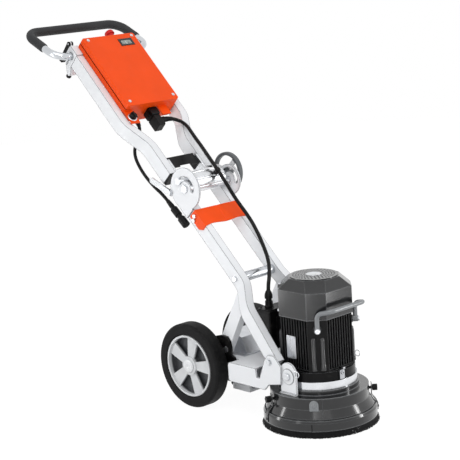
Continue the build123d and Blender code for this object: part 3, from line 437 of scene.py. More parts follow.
def handwheel_plastic():
    """Handwheel: dark rim and hub, pale spokes."""
    finish = Finish("handwheel_plastic")
    soft, rim = finish.edges(1.0)
    radius = finish.about(on_rail(*HANDWHEEL_PLACE))
    outside = finish.span(radius, 0, 1, HANDWHEEL_RIM_R * MM, (HANDWHEEL_RIM_R + 1) * MM)
    inside = finish.span(radius, 1, 0, (HANDWHEEL_HUB_R - 1) * MM, HANDWHEEL_HUB_R * MM)
    dark = finish.math("MAXIMUM", outside, inside)
    base = finish.mix(dark, finish.mottle(tone(226, 227, 229), 30, 0.05),
                      finish.mottle(tone(84, 87, 90), 30, 0.1))
    base = finish.mix(finish.math("MULTIPLY", rim, 0.3), base, tone(150, 152, 154))
    return finish.close(base, finish.span(finish.noise(90, 4), 0.32, 0.52),
                        finish.relief(finish.noise(900, 3), 0.02, soft), specular=0.45)


def cable_rubber():
    """Rubber cable sheath with a fine grain and dust."""
    finish = Finish("cable_rubber")
    dust = finish.span(finish.noise(120, 5), 0, 0.1, 0.5, 0.8)
    base = finish.mix(dust, finish.mottle(tone(12, 12, 13), 60, 0.2), tone(96, 95, 93))
    return finish.close(base, finish.span(finish.noise(90, 4), 0.42, 0.6),
                        finish.relief(finish.noise(1500, 3), 0.04), specular=0.18)


def brush_nylon():
    """Bristles: streaks along their length and evenly rubbed tips."""
    finish = Finish("brush_nylon")
    streak = finish.noise(900, 3, (1, 1, 0.08))
    split = finish.add("SeparateXYZ", Vector=finish.place)
    tip = finish.span(split.outputs["Z"], 0.5, 0, 0.0, 0.008)
    base = finish.mix(finish.span(streak, 0, 1, 0.35, 0.7), tone(7, 7, 8), tone(24, 24, 25))
    base = finish.mix(tip, base, tone(16, 16, 16))
    return finish.close(base, finish.span(streak, 0.5, 0.7), finish.relief(streak, 0.1), specular=0.1)


def stator_steel():
    """Stacked laminations round the motor's axis."""
    finish = Finish("stator_steel")
    split = finish.add("SeparateXYZ", Vector=finish.place)
    layers = finish.math("SINE", finish.math("MULTIPLY", split.outputs["Z"], 9000.0))
    base = finish.mix(finish.span(layers, 0, 1, -1, 1), tone(96, 98, 102), tone(150, 152, 156))
    return finish.close(base, finish.span(finish.noise(80), 0.35, 0.5),
                        finish.relief(layers, 0.05), metal=1.0)


def segment_metal():
    """Sintered grinding segments with grit showing."""
    finish = Finish("segment_metal")
    grit = finish.cells(900)
    base = finish.mix(finish.span(grit, 1, 0, 0.1, 0.5), tone(118, 112, 104), tone(206, 198, 178))
    return finish.close(base, finish.span(finish.noise(300), 0.45, 0.7),
                        finish.relief(grit, 0.15), metal=0.8)


def meter_window():
    """Hour meter: black case, and a pale window where its face is sunk."""
    finish = Finish("meter_plastic")
    soft, rim = finish.edges(0.5)
    split = finish.add("SeparateXYZ", Vector=finish.place)
    rise = finish.math("ADD", split.outputs["X"], split.outputs["Z"])
    face = on_rail(0, METER_FACE, 0)
    sunk = finish.math("LESS_THAN", rise, face.x + face.z)
    base = finish.mix(sunk, finish.mottle(tone(24, 24, 25), 40, 0.2),
                      finish.mottle(tone(186, 192, 188), 90, 0.05))
    base = finish.mix(finish.math("MULTIPLY", rim, 0.25), base, tone(120, 120, 120))
    return finish.close(base, finish.span(finish.noise(120), 0.18, 0.34),
                        finish.relief(finish.noise(1200), 0.008, soft), specular=0.5)


def duct_finish():
    """Dust outlet: plated sheet duct with a painted foot, and a black moulded spigot."""
    finish = Finish("duct")
    soft, rim = finish.edges(1.0)
    split = finish.add("SeparateXYZ", Vector=finish.place)
    sheet = finish.math("GREATER_THAN", split.outputs["X"], at(DUCT_REAR, 0, 0).x)
    base = finish.mix(sheet, finish.mottle(tone(26, 26, 27), 40, 0.15),
                      finish.mottle(tone(206, 208, 212), 60, 0.06))
    foot = finish.math("MULTIPLY", sheet, finish.math("LESS_THAN", split.outputs["Z"], DUCT_FOOT_TOP * MM))
    base = finish.mix(foot, base, finish.mottle(*RAIL_MOTTLE))
    base = finish.mix(finish.math("MULTIPLY", rim, 0.4), base, tone(190, 192, 194))
    rough = finish.math("ADD", finish.span(finish.noise(80, 4), 0.26, 0.4), finish.span(sheet, 0.12, 0))
    bare = finish.math("SUBTRACT", sheet, foot)
    return finish.close(base, rough, finish.relief(finish.noise(900), 0.02, soft), metal=bare, specular=0.4)


def brace_finish():
    """Painted struts and a bare metal tube between the rails, with painted shade as dark lines along their
    edges.
    """
    finish = Finish("brace")
    soft, rim = finish.edges(0.8, False)
    split = finish.add("SeparateXYZ", Vector=finish.place)
    bare = finish.math("LESS_THAN", finish.math("ABSOLUTE", split.outputs["Y"]), BRACE_TUBE_HALF * MM)
    base = finish.mix(bare, finish.mottle(*RAIL_MOTTLE), finish.mottle(tone(196, 199, 203), 60, 0.1))
    # Painted shade: dark lines along the edges.
    base = finish.mix(finish.math("MULTIPLY", rim, 0.5), base, tone(140, 143, 147))
    rough = finish.math("SUBTRACT", finish.span(finish.noise(80, 4), 0.32, 0.42), finish.span(bare, 0, 0.14))
    return finish.close(base, rough, finish.relief(finish.noise(900), 0.015, soft), metal=bare, specular=0.4)


def make_materials():
    """One material for each slot of the record, and a few for single nodes and pieces."""
    return {
        "rail_paint": rail_paint(),
        "orange_paint": painted("orange_paint", tone(246, 78, 4), 0.4, tone(255, 126, 62), specular=0.22,
                                grain=1000, depth=0.01, edge_rub_and_highlight_share=0.35, width=1.4, swing=0.04, dusty=0.02),
        # Painted highlight: a pale tone along every edge.
        "anthracite_paint": painted("anthracite_paint", tone(26, 27, 29), 0.34, tone(138, 140, 143),
                                    specular=0.2, grain=1500, depth=0.008, edge_rub_and_highlight_share=0.3, width=2.6, swing=0.03,
                                    dusty=0.01, chipped=False, coat=1.0),
        # Painted highlight: a wide pale band along every edge.
        "cover_paint": painted("cover_paint", tone(20, 21, 23), 0.34, tone(170, 173, 176), specular=0.1,
                               grain=1500, depth=0.008, edge_rub_and_highlight_share=0.5, width=6.0, swing=0.03, dusty=0.01,
                               chipped=False, coat=1.0),
        # Painted highlight: pale fin edges.
        "fin_paint": painted("fin_paint", tone(8, 8, 9), 0.3, tone(132, 134, 137), specular=0.14,
                             depth=0.015, edge_rub_and_highlight_share=0.7, width=0.9, dusty=0.03, chipped=False),
        "handle_paint": painted("handle_paint", tone(128, 131, 134), 0.22, tone(176, 178, 181),
                                grain=1500, depth=0.006),
        "black_paint": painted("black_paint", tone(9, 9, 10), 0.3, tone(78, 79, 82), specular=0.2,
                               depth=0.02),
        "black_plastic": painted("black_plastic", tone(11, 11, 12), 0.36, tone(66, 67, 69), specular=0.16,
                                 grain=1700, depth=0.05),
        "red_plastic": painted("red_plastic", tone(214, 20, 12), 0.28, tone(240, 84, 66), specular=0.4,
                               grain=1500, depth=0.01),
        "seal_rubber": painted("seal_rubber", tone(24, 24, 24), 0.62, tone(52, 52, 52), specular=0.25,
                               grain=800, depth=0.05),
        "bare_aluminium": metal("bare_aluminium", tone(222, 224, 227), 0.2, stretch=(1, 0.04, 1),
                                depth=0.004),
        "bearing_steel": metal("bearing_steel", tone(186, 188, 192), 0.24, stretch=(1, 1, 0.05)),
        "chrome_tube": metal("chrome_tube", tone(206, 209, 213), 0.12, stretch=(0.1, 0.1, 1), grain=700,
                             depth=0.006, swing=0.1),
        "zinc_steel": zinc_steel(),
        "grip_foam": grip_foam(),
        "tyre_rubber": tyre_rubber(),
        "rim_plastic": rim_plastic(),
        "meter_plastic": meter_window(),
        "cable_rubber": cable_rubber(),
        "cap_plastic": painted("cap_plastic", tone(226, 228, 230), 0.34, tone(246, 246, 246)),
        "stator_steel": stator_steel(),
        "segment_metal": segment_metal(),
        "brush_nylon": brush_nylon(),
    }


MATERIALS = make_materials()
SPECIAL = {"handwheel": handwheel_plastic(), "fan_cover": MATERIALS["cover_paint"],
           "shroud": MATERIALS["cover_paint"], "skirt_ring": MATERIALS["cover_paint"],
           "motor_body": MATERIALS["fin_paint"], "rail_cross_plate": MATERIALS["black_paint"],
           "fan_grille": MATERIALS["anthracite_paint"], "lift_handle": MATERIALS["handle_paint"],
           "head_brackets": MATERIALS["rail_paint"], "fold_latch": MATERIALS["zinc_steel"],
           "dust_port": duct_finish(), "chassis_braces": brace_finish()}


def dress_nodes():
    """Give every node of the frame its finished material."""
    for name, node in NODES.items():
        slot = node.data.materials[0].name.split(".")[0]
        finish = SPECIAL.get(name, MATERIALS[slot])
        node.data.materials.clear()
        node.data.materials.append(finish)


# Mesh helpers

BEVEL_ANGLE = math.radians(40)
SMOOTH_ANGLE = math.radians(38)


def circle(steps):
    """Evenly spaced angles of a full turn."""
    return [2 * math.pi * step / steps for step in range(steps)]


def skin(shape, rings, closed=False, capped=False):
    """Faces between rings of points, or single points, and over the two end rings."""
    steps = max(len(ring) for ring in rings)
    pairs = list(zip(rings, rings[1:]))
    if closed:
        pairs.append((rings[-1], rings[0]))
    for low, high in pairs:
        for step in range(steps):
            after = step + 1
            corners = [low[step % len(low)], low[after % len(low)],
                       high[after % len(high)], high[step % len(high)]]
            corners = list(dict.fromkeys(corners))
            if len(corners) > 2:
                shape.faces.new(corners)
    if capped:
        shape.faces.new(list(reversed(rings[0])))
        shape.faces.new(rings[-1])


def lathe(profile, steps, closed=False):
    """Turned shape from pairs of radius and height; a closed profile makes a ring."""
    shape = bmesh.new()
    rings = []
    for radius, height in profile:
        turns = circle(steps) if radius > 0 else [0.0]
        rings.append([shape.verts.new((radius * math.cos(t), radius * math.sin(t), height)) for t in turns])
    skin(shape, rings, closed)
    return shape


def slab(outline, thickness, bevel=0.0):
    """Plate with a flat outline, from local Z 0 up, its sharp edges rounded by the bevel."""
    shape = bmesh.new()
    foot = [shape.verts.new((x, y, 0)) for x, y in outline]
    head = [shape.verts.new((x, y, thickness)) for x, y in outline]
    shape.faces.new(list(reversed(foot)))
    shape.faces.new(head)
    for index in range(len(outline)):
        after = (index + 1) % len(outline)
        shape.faces.new([foot[index], foot[after], head[after], head[index]])
    if bevel:
        sharp = [edge for edge in shape.edges if edge.calc_face_angle(0) > BEVEL_ANGLE]
        bmesh.ops.bevel(shape, geom=sharp, offset=bevel, segments=2, profile=0.5, affect="EDGES")
    return shape


def rounded(width, height, radius, steps=5):
    """Outline of a rectangle with round corners."""
    outline = []
    for corner, (side, rise) in enumerate(((1, 1), (-1, 1), (-1, -1), (1, -1))):
        for step in range(steps + 1):
            turn = math.pi / 2 * (corner + step / steps)
            outline.append((side * (width / 2 - radius) + radius * math.cos(turn),
                            rise * (height / 2 - radius) + radius * math.sin(turn)))
    return outline


def arched(width, height, steps=14):
    """Outline with a flat foot and a round top."""
    outline = [(-width / 2, -height / 2), (width / 2, -height / 2)]
    for step in range(steps + 1):
        turn = math.pi * step / steps
        outline.append((width / 2 * math.cos(turn), height / 2 - width / 2 + width / 2 * math.sin(turn)))
    return outline


def sweep(line, radius, sides, closed=False, bore=None):
    """Rod or bored tube along points in metres; its radius may be a function of the share of the way."""
    shape = bmesh.new()
    count = len(line)
    heading = (line[1] - line[0]).normalized()
    across = heading.orthogonal().normalized()
    rings = []
    bores = []
    for index, point in enumerate(line):
        before = line[index - 1] if index or closed else line[0]
        after = line[(index + 1) % count] if index < count - 1 or closed else line[-1]
        new_heading = (after - before).normalized()
        across = heading.rotation_difference(new_heading) @ across
        heading = new_heading
        spokes = [across * math.cos(t) + heading.cross(across) * math.sin(t) for t in circle(sides)]
        size = (radius(index / (count - 1)) if callable(radius) else radius) * MM
        rings.append([shape.verts.new(point + spoke * size) for spoke in spokes])
        if bore:
            bores.append([shape.verts.new(point + spoke * bore * MM) for spoke in spokes])
    rings += reversed(bores)
    endless = bool(closed or bore)
    skin(shape, rings, closed=endless, capped=not endless)
    return shape


def join(base, extra, matrix):
    """Add one shape to another, placed by a matrix."""
    bmesh.ops.transform(extra, matrix=matrix, verts=extra.verts)
    carrier = bpy.data.meshes.new("carrier")
    extra.to_mesh(carrier)
    extra.free()
    base.from_mesh(carrier)
    bpy.data.meshes.remove(carrier)


def screw_head(radius, height):
    """Round screw head with a sunk drive."""
    return lathe([(0, 0.5 * height), (0.4 * radius, 0.5 * height), (0.46 * radius, 0.95 * height),
                  (0.7 * radius, height), (0.95 * radius, 0.6 * height), (radius, 0), (0, 0)], 20)


def around(angle, radius, z):
    """Place on a circle about the spindle, with its outward and sideways directions."""
    turn = math.radians(angle)
    out = Vector((math.cos(turn), math.sin(turn), 0))
    return at(out.x * radius, out.y * radius, z), out, UP.cross(out)


def piece(name, shape, matrix, material, body=None):
    """Object from a mesh under construction, placed, smoothed and riding on its body."""
    if matrix:
        bmesh.ops.transform(shape, matrix=matrix, verts=shape.verts)
    bmesh.ops.recalc_face_normals(shape, faces=shape.faces)
    mesh = bpy.data.meshes.new(name)
    shape.to_mesh(mesh)
    shape.free()
    mesh.shade_smooth()
    mesh.set_sharp_from_angle(angle=SMOOTH_ANGLE)
    mesh.materials.append(material)
    made = bpy.data.objects.new(name, mesh)
    bpy.context.scene.collection.objects.link(made)
    if body:
        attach(made, body)
    return made


# Handlebar grip

def grip_line():
    """Centre line of the grip: two arms and the bar across, joined by arcs."""
    start = Vector(GRIP_START)
    corner = Vector(GRIP_CORNER)
    arm = (start - corner).normalized()
    first = corner + arm * BAR_BEND_R
    last = corner + LEFT * BAR_BEND_R
    centre = first + LEFT * BAR_BEND_R
    points = [start + (first - start) * step / GRIP_STEPS for step in range(GRIP_STEPS)]
    for step in range(GRIP_STEPS + 1):
        turn = math.pi / 2 * step / GRIP_STEPS
        points.append(centre - LEFT * BAR_BEND_R * math.cos(turn) - arm * BAR_BEND_R * math.sin(turn))
    bar_steps = 2 * GRIP_STEPS
    span = [last + LEFT * (-2 * last.y) * step / bar_steps for step in range(1, bar_steps)]
    mirrored = [Vector((p.x, -p.y, p.z)) for p in reversed(points)]
    return [at(*p) for p in points + span + mirrored]


def add_grip():
    """Foam sleeve on the handlebar, rounded at both ends."""
    line = grip_line()
    ends = [line[0] + (line[1] - line[0]) * share for share in (0.12, 0.3, 0.55)]
    tails = [line[-1] + (line[-2] - line[-1]) * share for share in (0.55, 0.3, 0.12)]
    line = [line[0], *ends, *line[1:-1], *tails, line[-1]]
    lengths = [0.0]
    for before, after in zip(line, line[1:]):
        lengths.append(lengths[-1] + (after - before).length / MM)
    thinnest = BAR_R + GRIP_LIP

    def size(share):
        here = lengths[round(share * (len(line) - 1))]
        gap = min(here, lengths[-1] - here)
        if gap >= GRIP_ROUNDING:
            return GRIP_R
        return thinnest + (GRIP_R - thinnest) * math.sqrt(max(0.0, 1 - (1 - gap / GRIP_ROUNDING) ** 2))

    grip = piece("grip_sleeve", sweep(line, size, 28), None, MATERIALS["grip_foam"], "handlebar")
    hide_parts("handlebar_grip")


# Brush

def add_tuft(shape, turn, top_r, foot_r):
    """One tuft that leaves its backing at top_r, splays out to about foot_r and leans a little."""
    lean = random.uniform(-TUFT_LEAN_RADIANS, TUFT_LEAN_RADIANS)
    reach = foot_r + random.uniform(-TUFT_SPREAD, TUFT_SPREAD)
    foot_z = random.uniform(*TUFT_FOOT_Z)
    root_z = SKIRT_BASE - BRUSH_ROOT
    rings = []
    for share in (0.0, 0.5, 1.0):
        radius = top_r + (reach - top_r) * share ** 1.5
        height = root_z + (foot_z - root_z) * share
        half_width = TUFT_HALF_WIDTH - TUFT_TAPER * share
        ring = []
        for spin in circle(TUFT_SIDES):
            out = radius + TUFT_HALF_DEPTH * math.cos(spin)
            along = turn + lean * share + half_width * math.sin(spin) / radius
            ring.append(shape.verts.new((out * math.cos(along), out * math.sin(along), height)))
        rings.append(ring)
    skin(shape, rings, capped=True)


def add_brush():
    """Strip brush under the skirt: three rows of tapered tufts on a backing strip."""
    backing = SKIRT_BASE - BRUSH_BACKING
    shape = lathe([(BRUSH_IN_R, SKIRT_BASE), (BRUSH_OUT_R, SKIRT_BASE), (BRUSH_OUT_R, backing),
                   (BRUSH_IN_R, backing)], 180, True)
    for top_r, foot_r, stagger in BRUSH_ROWS:
        for count in range(TUFTS_PER_ROW):
            add_tuft(shape, 2 * math.pi * (count + stagger) / TUFTS_PER_ROW, top_r, foot_r)
    matrix = stand(at(0, 0, 0), UP, FORWARD)
    brush = piece("strip_brush", shape, matrix, MATERIALS["brush_nylon"], "skirt")
    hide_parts("skirt_brush")


# Cords

def route_line(points):
    """Points read from the smooth spline that the route's points control."""
    curve = bpy.data.curves.new("route", "CURVE")
    curve.dimensions = "3D"
    spline = curve.splines.new("NURBS")
    spline.points.add(len(points) - 1)
    for control, point in zip(spline.points, points):
        control.co = (*point, 1)
    spline.order_u = 3
    spline.use_endpoint_u = True
    spline.resolution_u = 10
    holder = bpy.data.objects.new("route", curve)
    mesh = bpy.data.meshes.new_from_object(holder)
    line = [vertex.co.copy() for vertex in mesh.vertices]
    bpy.data.objects.remove(holder)
    bpy.data.meshes.remove(mesh)
    return line


def first_part(line, length, count=24):
    """Evenly spaced points along the first millimetres of a line."""
    points = [line[0].copy()]
    step = length * MM / count
    left = step
    here = line[0].copy()
    for point in line[1:]:
        while (point - here).length >= left and len(points) <= count:
            here = here + (point - here).normalized() * left
            points.append(here.copy())
            left = step
        left -= (point - here).length
        here = point.copy()
    return points


def add_boot(name, line, large, cord_radius, body, swell=1.0):
    """Tapered, ribbed strain relief round the end of a cord; a larger swell makes it rounder."""
    def size(share):
        rib = BOOT_RIB * math.cos(2 * math.pi * BOOT_RIBS * share)
        return large + (cord_radius + BOOT_WALL - large) * share ** swell + rib

    shape = sweep(first_part(line, BOOT_LENGTH), size, 24, bore=cord_radius + BOOT_GAP)
    return piece(name, shape, None, MATERIALS["black_plastic"], body)


def add_cord(name, route, radius, node):
    """Round cord along a route, in place of the node that it hides."""
    line = route_line(route)
    tube = piece(name, sweep(line, radius, 18), None, MATERIALS["cable_rubber"])
    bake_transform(tube)
    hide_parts(node)


def add_cords():
    """Motor cable in its two stretches, and the supply lead with its plug."""
    x, y, z = MOTOR_GLAND
    lower = [at(x, y, z), at(x, y, z + GLAND_RISE)] + [on_rail(*point) for point in LOWER_ROUTE]
    add_cord("motor_cable_foot", lower, CABLE_R, "motor_cable_lower")
    add_boot("motor_boot", route_line(lower), MOTOR_BOOT_R, CABLE_R, "head", swell=3.0)
    upper = [on_rail(*point) for point in UPPER_ROUTE]
    add_cord("motor_cable_head", upper, CABLE_R, "motor_cable_upper")
    add_boot("connector_boot", route_line(upper)[::-1], CONNECTOR_BOOT_R, CABLE_R, "upper_frame")
    lead = [on_rail(*point) for point in LEAD_ROUTE]
    line = route_line(lead)
    plug_boot = add_boot("plug_boot", line[::-1], PLUG_BOOT_R, LEAD_R, "chassis")
    add_cord("supply_cord", lead, LEAD_R, "supply_lead")
    add_boot("supply_boot", line, SUPPLY_BOOT_R, LEAD_R, "upper_frame")


# Small pieces

def add_screws(name, spots, radius, height, body, slot="zinc_steel"):
    """Group of screw heads, each given by its place and outward direction."""
    group = bmesh.new()
    for place, out in spots:
        join(group, screw_head(radius, height), stand(place, out, out.orthogonal()))
    piece(name, group, None, MATERIALS[slot], body)


def add_wheel_caps():
    """Cap over each wheel's hub, hollow behind, with a ring and a dimple."""
    profile = [(19.6, 145.3), (19.6, 148.2), (18.4, 149.6), (14.5, 149.9), (12.5, 151.2), (8.5, 151.2),
               (6.8, 150), (0, 149.6), (0, 147.2), (16.5, 147.2), (17.6, 145.3)]
    for side, body in ((-1, "wheel_right"), (1, "wheel_left")):
        matrix = stand(at(WHEEL_X, 0, WHEEL_Z), LEFT * side, FORWARD)
        piece("cap_" + body, lathe(profile, 48, True), matrix, MATERIALS["cap_plastic"], body)


def corner_face(half, chamfer):
    """Distance from the middle of a chamfered square to the faces at its corners."""
    return (2 * half - chamfer) / ROOT2


def add_motor_details():
    """Bare rating plate, cover screws, terminal box screws, grille centre and flange clip."""
    plate = slab(rounded(*RATING_PLATE, 3), 1.0, 0.3)
    aside, above = (size / 2 - RATING_SCREW_INSET for size in RATING_PLATE)
    for x in (-aside, aside):
        for y in (-above, above):
            join(plate, screw_head(1.7, 1.0), Matrix.Translation((x, y, 1)))
    piece("rating_plate", plate, stand(at(*RATING_PLATE_PLACE), RIGHT, FORWARD), MATERIALS["bearing_steel"],
          "head")
    corners = [Vector((x, y, 0)).normalized() for x in (-1, 1) for y in (-1, 1)]
    reach = corner_face(COVER_HALF, COVER_CHAMFER)
    spots = [(at(*(out * reach + UP * COVER_SCREW_Z)), out) for out in corners]
    add_screws("cover_screws", spots, 4.2, 3, "head")
    spots = [(at(x, TERMINAL_SCREW_Y * side, TERMINAL_TOP), UP)
             for x in TERMINAL_SCREWS_X for side in (-1, 1)]
    add_screws("terminal_screws", spots, 3.4, 2.2, "head", "black_plastic")
    disc = lathe([(0, 1.2), (17, 1.2), (18, 1.6), (20.6, 1.6), (21.5, 0.9), (21.5, 0), (0, 0)], 48)
    piece("grille_centre", disc, stand(at(0, 0, GRILLE_TOP), UP, FORWARD), MATERIALS["bare_aluminium"],
          "head")
    clip = slab(rounded(16, 26, 3), 6, 0.8)
    join(clip, screw_head(4.5, 4), Matrix.Translation((0, 5, 6)))
    piece("flange_clip", clip, stand(*around(*FLANGE_CLIP_PLACE)), MATERIALS["bearing_steel"],
          "head")


def add_motor_columns():
    """Two cast columns with feet down each corner face of the motor."""
    profile = [(0, 92), (4, 91), (6.2, 88), (6.6, 84), (6.6, 16), (8, 13), (8.4, 3), (8.4, 0), (0, 0)]
    reach = corner_face(BODY_HALF, BODY_CHAMFER) - COLUMN_SINK
    for number, angle in enumerate((45, 135, 225, 315), 1):
        columns = bmesh.new()
        place, out, across = around(angle, reach, COLUMN_FOOT_Z)
        for aside in (-COLUMN_ASIDE, COLUMN_ASIDE):
            join(columns, lathe(profile, 20), stand(place + across * aside * MM, UP, out))
        piece(f"motor_columns_{number}", columns, None, MATERIALS["anthracite_paint"],
              "head")


def add_shroud_details():
    """Inspection tab, the wall's seam and the skirt ring's joint."""
    tab = slab(arched(25, 30), 3.6, 0.8)
    join(tab, screw_head(6.2, 2.4), Matrix.Translation((0, 1, 3.6)))
    piece("shroud_tab", tab, stand(*around(*SHROUD_TAB_PLACE)), MATERIALS["handle_paint"],
          "head")
    seam = [around(SEAM_ANGLE, radius, z)[0] for radius, z in SEAM_WALL]
    piece("shroud_seam", sweep(seam, 0.8, 8), None, MATERIALS["anthracite_paint"], "head")
    joint = slab(rounded(2.4, 20, 0.6), 0.7, 0.2)
    piece("ring_joint", joint, stand(*around(*RING_JOINT_PLACE)), MATERIALS["black_plastic"],
          "skirt")


def add_skirt_guides():
    """Bent strap from the skirt ring up to each thumb screw, with a slot for the screw's travel."""
    columns = (-7, -4.6, 4.6, 7)
    rows = ((159.7, 20.5), (159.7, 40), (156.5, 47.6), (154.7, 52), (143.4, 65), (143.4, 68.5),
            (143.4, 89.5), (143.4, 99))
    slot_row = 5
    outer_offset = (2, 0, 0.6)
    sideways = Matrix.Rotation(math.pi / 2, 4, "Y")
    for name, angle in (("guide_left", KNOB_ANGLES[0]), ("guide_right", KNOB_ANGLES[1])):
        shape = bmesh.new()
        grid = [[shape.verts.new((radius, side, z)) for side in columns] for radius, z in rows]
        for row in range(len(rows) - 1):
            for column in range(len(columns) - 1):
                if (row, column) != (slot_row, 1):
                    shape.faces.new([grid[row][column], grid[row][column + 1],
                                     grid[row + 1][column + 1], grid[row + 1][column]])
        grown = bmesh.ops.extrude_face_region(shape, geom=shape.faces[:])["geom"]
        outer = [part for part in grown if isinstance(part, bmesh.types.BMVert)]
        bmesh.ops.translate(shape, vec=outer_offset, verts=outer)
        join(shape, screw_head(4, 2.6), Matrix.Translation(GUIDE_SCREW) @ sideways)
        matrix = stand(at(0, 0, 0), UP, around(angle, 1, 0)[1])
        piece(name, shape, matrix, MATERIALS["anthracite_paint"], "skirt")


def add_frame_details():
    """Rail end plugs, clamp feet, leg washers and the rings of the head's brackets."""
    for side, hand in ((-1, "right"), (1, "left")):
        outward = LEFT * side
        mirror = Matrix.Diagonal((1, side, 1, 1))
        plug = slab(rounded(24, 44, 2.5), 8, 1.6)
        piece("rail_plug_" + hand, plug, stand(mirror @ on_rail(*RAIL_PLUG_PLACE), DOWN_RAIL, LEFT),
              MATERIALS["black_plastic"], "upper_frame")
        foot = lathe([(0, 0), (6.4, 0), (7.4, 5), (8.2, 13), (7.4, 16.5), (4, 17.6), (0, 17.8)], 32)
        piece("clamp_foot_" + hand, foot, stand(mirror @ on_rail(*CLAMP_FOOT_PLACE), -OFF_RAIL, LEFT),
              MATERIALS["seal_rubber"], "upper_frame")
        washer = lathe([(7.7, 0), (11, 0), (11, 0.9), (10.4, 1.4), (7.7, 1.4)], 36, True)
        piece("leg_washer_" + hand, washer, stand(mirror @ at(*LEG_WASHER_PLACE), outward, FORWARD),
              MATERIALS["zinc_steel"], "chassis")
        centre = mirror @ at(*BRACKET_RING_PLACE)
        line = [centre + (FORWARD * math.cos(t) + UP * math.sin(t)) * BRACKET_RING_R * MM for t in circle(36)]
        ring = sweep(line, 1.2, 10, True)
        join(ring, screw_head(4, 3), stand(mirror @ at(*BRACKET_SCREW_PLACE), outward, FORWARD))
        piece("bracket_ring_" + hand, ring, None, MATERIALS["zinc_steel"], "head")


def add_cable_clip():
    """Clip that holds the motor cable on the hinge drum."""
    clip = lathe([(5.7, -5), (7.8, -5), (8.4, -4.4), (8.4, 4.4), (7.8, 5), (5.7, 5)], 32, True)
    before, after = (on_rail(*point) for point in UPPER_ROUTE[2:4])
    middle = (before + after) / 2
    bmesh.ops.transform(clip, matrix=stand(middle, after - before, LEFT), verts=clip.verts)
    join(clip, slab(rounded(11, 13, 2), 9, 0.8), stand(middle - OFF_RAIL * CLIP_REACH * MM, OFF_RAIL, LEFT))
    piece("drum_clip", clip, None, MATERIALS["black_plastic"], "upper_frame")


def add_control_details():
    """Switch bezel, stop button collar and the hour meter's counter."""
    bezel = lathe([(11.7, 7), (15, 7), (15, 8.6), (13.6, 9.6), (11.7, 9.6)], 40, True)
    piece("switch_bezel", bezel, stand(on_rail(*SWITCH_PLACE), OFF_RAIL, LEFT), MATERIALS["zinc_steel"],
          "upper_frame")
    collar = lathe([(10.5, 0), (14, 0), (14, 4), (12.8, 5), (12.8, 9), (12, 10), (10.5, 10)], 40, True)
    piece("stop_collar", collar, stand(on_rail(*STOP_PLACE), -DOWN_RAIL, LEFT),
          MATERIALS["black_plastic"], "upper_frame")
    # Each bar of a numeral has its place and whether it stands upright.
    bars = {"a": (0, 4, 0), "b": (2, 2, 1), "c": (2, -2, 1), "d": (0, -4, 0), "e": (-2, -2, 1),
            "f": (-2, 2, 1), "g": (0, 0, 0)}
    numerals = {"0": "abcdef", "1": "bc", "3": "abcdg", "6": "acdefg"}
    counter = bmesh.new()
    middle = (len(METER_READING) - 1) / 2
    for place, numeral in enumerate(METER_READING):
        for bar in numerals[numeral]:
            x, y, upright = bars[bar]
            size = NUMERAL_BAR[::-1] if upright else NUMERAL_BAR
            spot = Matrix.Translation((NUMERAL_PITCH * (place - middle) + x, y, 0))
            join(counter, slab(rounded(*size, 0.4, 2), 0.25), spot)
    piece("meter_counter", counter, stand(on_rail(*METER_PLACE), OFF_RAIL, LEFT),
          MATERIALS["black_plastic"], "upper_frame")


# Stage, light and camera

def ray_switch(tree, others):
    """1 for rays from the camera, glossy and transmission rays, and another value for the rest."""
    path = tree.nodes.new("ShaderNodeLightPath")
    total = path.outputs["Is Camera Ray"]
    for name in ("Is Glossy Ray", "Is Transmission Ray"):
        either = tree.nodes.new("ShaderNodeMath")
        either.operation = "MAXIMUM"
        tree.links.new(total, either.inputs[0])
        tree.links.new(path.outputs[name], either.inputs[1])
        total = either.outputs[0]
    ranged = tree.nodes.new("ShaderNodeMapRange")
    ranged.inputs["To Min"].default_value = others
    ranged.inputs["To Max"].default_value = 1.0
    tree.links.new(total, ranged.inputs["Value"])
    return ranged.outputs["Result"]


def add_world():
    """White surroundings that light the object about half as strongly as they show."""
    world = bpy.data.worlds.new("studio")
    world.use_nodes = True
    bpy.context.scene.world = world
    background = world.node_tree.nodes["Background"]
    background.inputs["Color"].default_value = (1, 1, 1, 1)
    world.node_tree.links.new(ray_switch(world.node_tree, 0.52), background.inputs["Strength"])


def add_floor():
    """Pale floor that keeps a soft shadow."""
    shape = lathe([(0, -FLOOR_DROP), (1, -FLOOR_DROP), (FLOOR_R, -FLOOR_DROP)], 64)
    mesh = bpy.data.meshes.new("floor")
    bmesh.ops.transform(shape, matrix=Matrix.Scale(MM, 4), verts=shape.verts)
    shape.to_mesh(mesh)
    shape.free()
    floor = bpy.data.objects.new("floor", mesh)
    bpy.context.scene.collection.objects.link(floor)
    material = bpy.data.materials.new("floor")
    material.use_nodes = True
    tree = material.node_tree
    tree.nodes.clear()
    paper = tree.nodes.new("ShaderNodeBsdfDiffuse")
    paper.inputs["Color"].default_value = (0.88, 0.88, 0.88, 1)
    glow = tree.nodes.new("ShaderNodeEmission")
    glow.inputs["Strength"].default_value = 1.1
    mixed = tree.nodes.new("ShaderNodeMixShader")
    share = tree.nodes.new("ShaderNodeMath")
    share.operation = "MULTIPLY"
    share.inputs[1].default_value = 0.86
    tree.links.new(ray_switch(tree, 0.0), share.inputs[0])
    tree.links.new(share.outputs[0], mixed.inputs[0])
    tree.links.new(paper.outputs[0], mixed.inputs[1])
    tree.links.new(glow.outputs[0], mixed.inputs[2])
    out = tree.nodes.new("ShaderNodeOutputMaterial")
    tree.links.new(mixed.outputs[0], out.inputs["Surface"])
    mesh.materials.append(material)


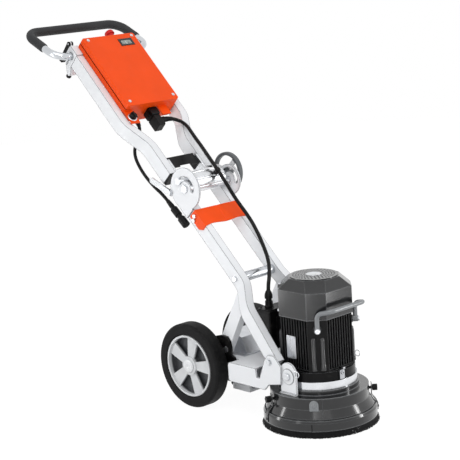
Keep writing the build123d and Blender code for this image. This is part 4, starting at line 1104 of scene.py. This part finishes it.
def add_lamp(name, place, target, size, power):
    """Soft rectangular lamp aimed at a point, all in metres and watts."""
    lamp = bpy.data.lights.new(name, "AREA")
    lamp.shape = "RECTANGLE"
    lamp.size, lamp.size_y = size
    lamp.energy = power
    holder = bpy.data.objects.new(name, lamp)
    holder.location = place
    holder.rotation_euler = (Vector(target) - Vector(place)).to_track_quat("-Z", "Y").to_euler()
    bpy.context.scene.collection.objects.link(holder)


def add_lights():
    """Key from above, tall lamps at the side and front, and low strips that show in the dark paint."""
    middle = (0.1, 0, 0.5)
    head = (0.42, 0, 0.25)
    add_lamp("key", (1.6, -1.2, 3.2), middle, (2.0, 2.0), 40)
    add_lamp("side", (0.2, -3.4, 1.3), middle, (0.5, 2.2), 6)
    add_lamp("front", (3.0, 2.3, 1.3), middle, (0.6, 2.2), 14)
    add_lamp("low_front", (1.5, 0.9, 0.4), head, (0.1, 0.8), 4)
    add_lamp("low_side", (-0.6, -0.95, 0.4), head, (0.12, 0.8), 3)
    add_lamp("low_key", (1.36, -1.04, 0.25), head, (0.06, 0.5), 1.4)


def add_camera():
    """Camera at the photo's place, with its small roll."""
    toward = Vector((-math.sin(CAMERA_AZIMUTH) * math.cos(CAMERA_ELEVATION),
                     math.cos(CAMERA_AZIMUTH) * math.cos(CAMERA_ELEVATION), -math.sin(CAMERA_ELEVATION)))
    level = Vector((math.cos(CAMERA_AZIMUTH), math.sin(CAMERA_AZIMUTH), 0))
    rise = level.cross(toward)
    across = level * math.cos(CAMERA_ROLL) - rise * math.sin(CAMERA_ROLL)
    above = level * math.sin(CAMERA_ROLL) + rise * math.cos(CAMERA_ROLL)
    lens = bpy.data.cameras.new("camera")
    lens.lens = CAMERA_LENS
    lens.sensor_width = 36
    camera = bpy.data.objects.new("camera", lens)
    turn = Matrix((across, above, -toward)).transposed().to_4x4()
    camera.matrix_world = Matrix.Translation(CAMERA_PLACE) @ turn
    bpy.context.scene.collection.objects.link(camera)
    bpy.context.scene.camera = camera


dress_nodes()
add_grip()
add_brush()
add_cords()
add_wheel_caps()
add_motor_details()
add_motor_columns()
add_shroud_details()
add_skirt_guides()
add_frame_details()
add_cable_clip()
add_control_details()
add_world()
add_floor()
add_lights()
add_camera()
bpy.context.scene.view_settings.view_transform = "Standard"
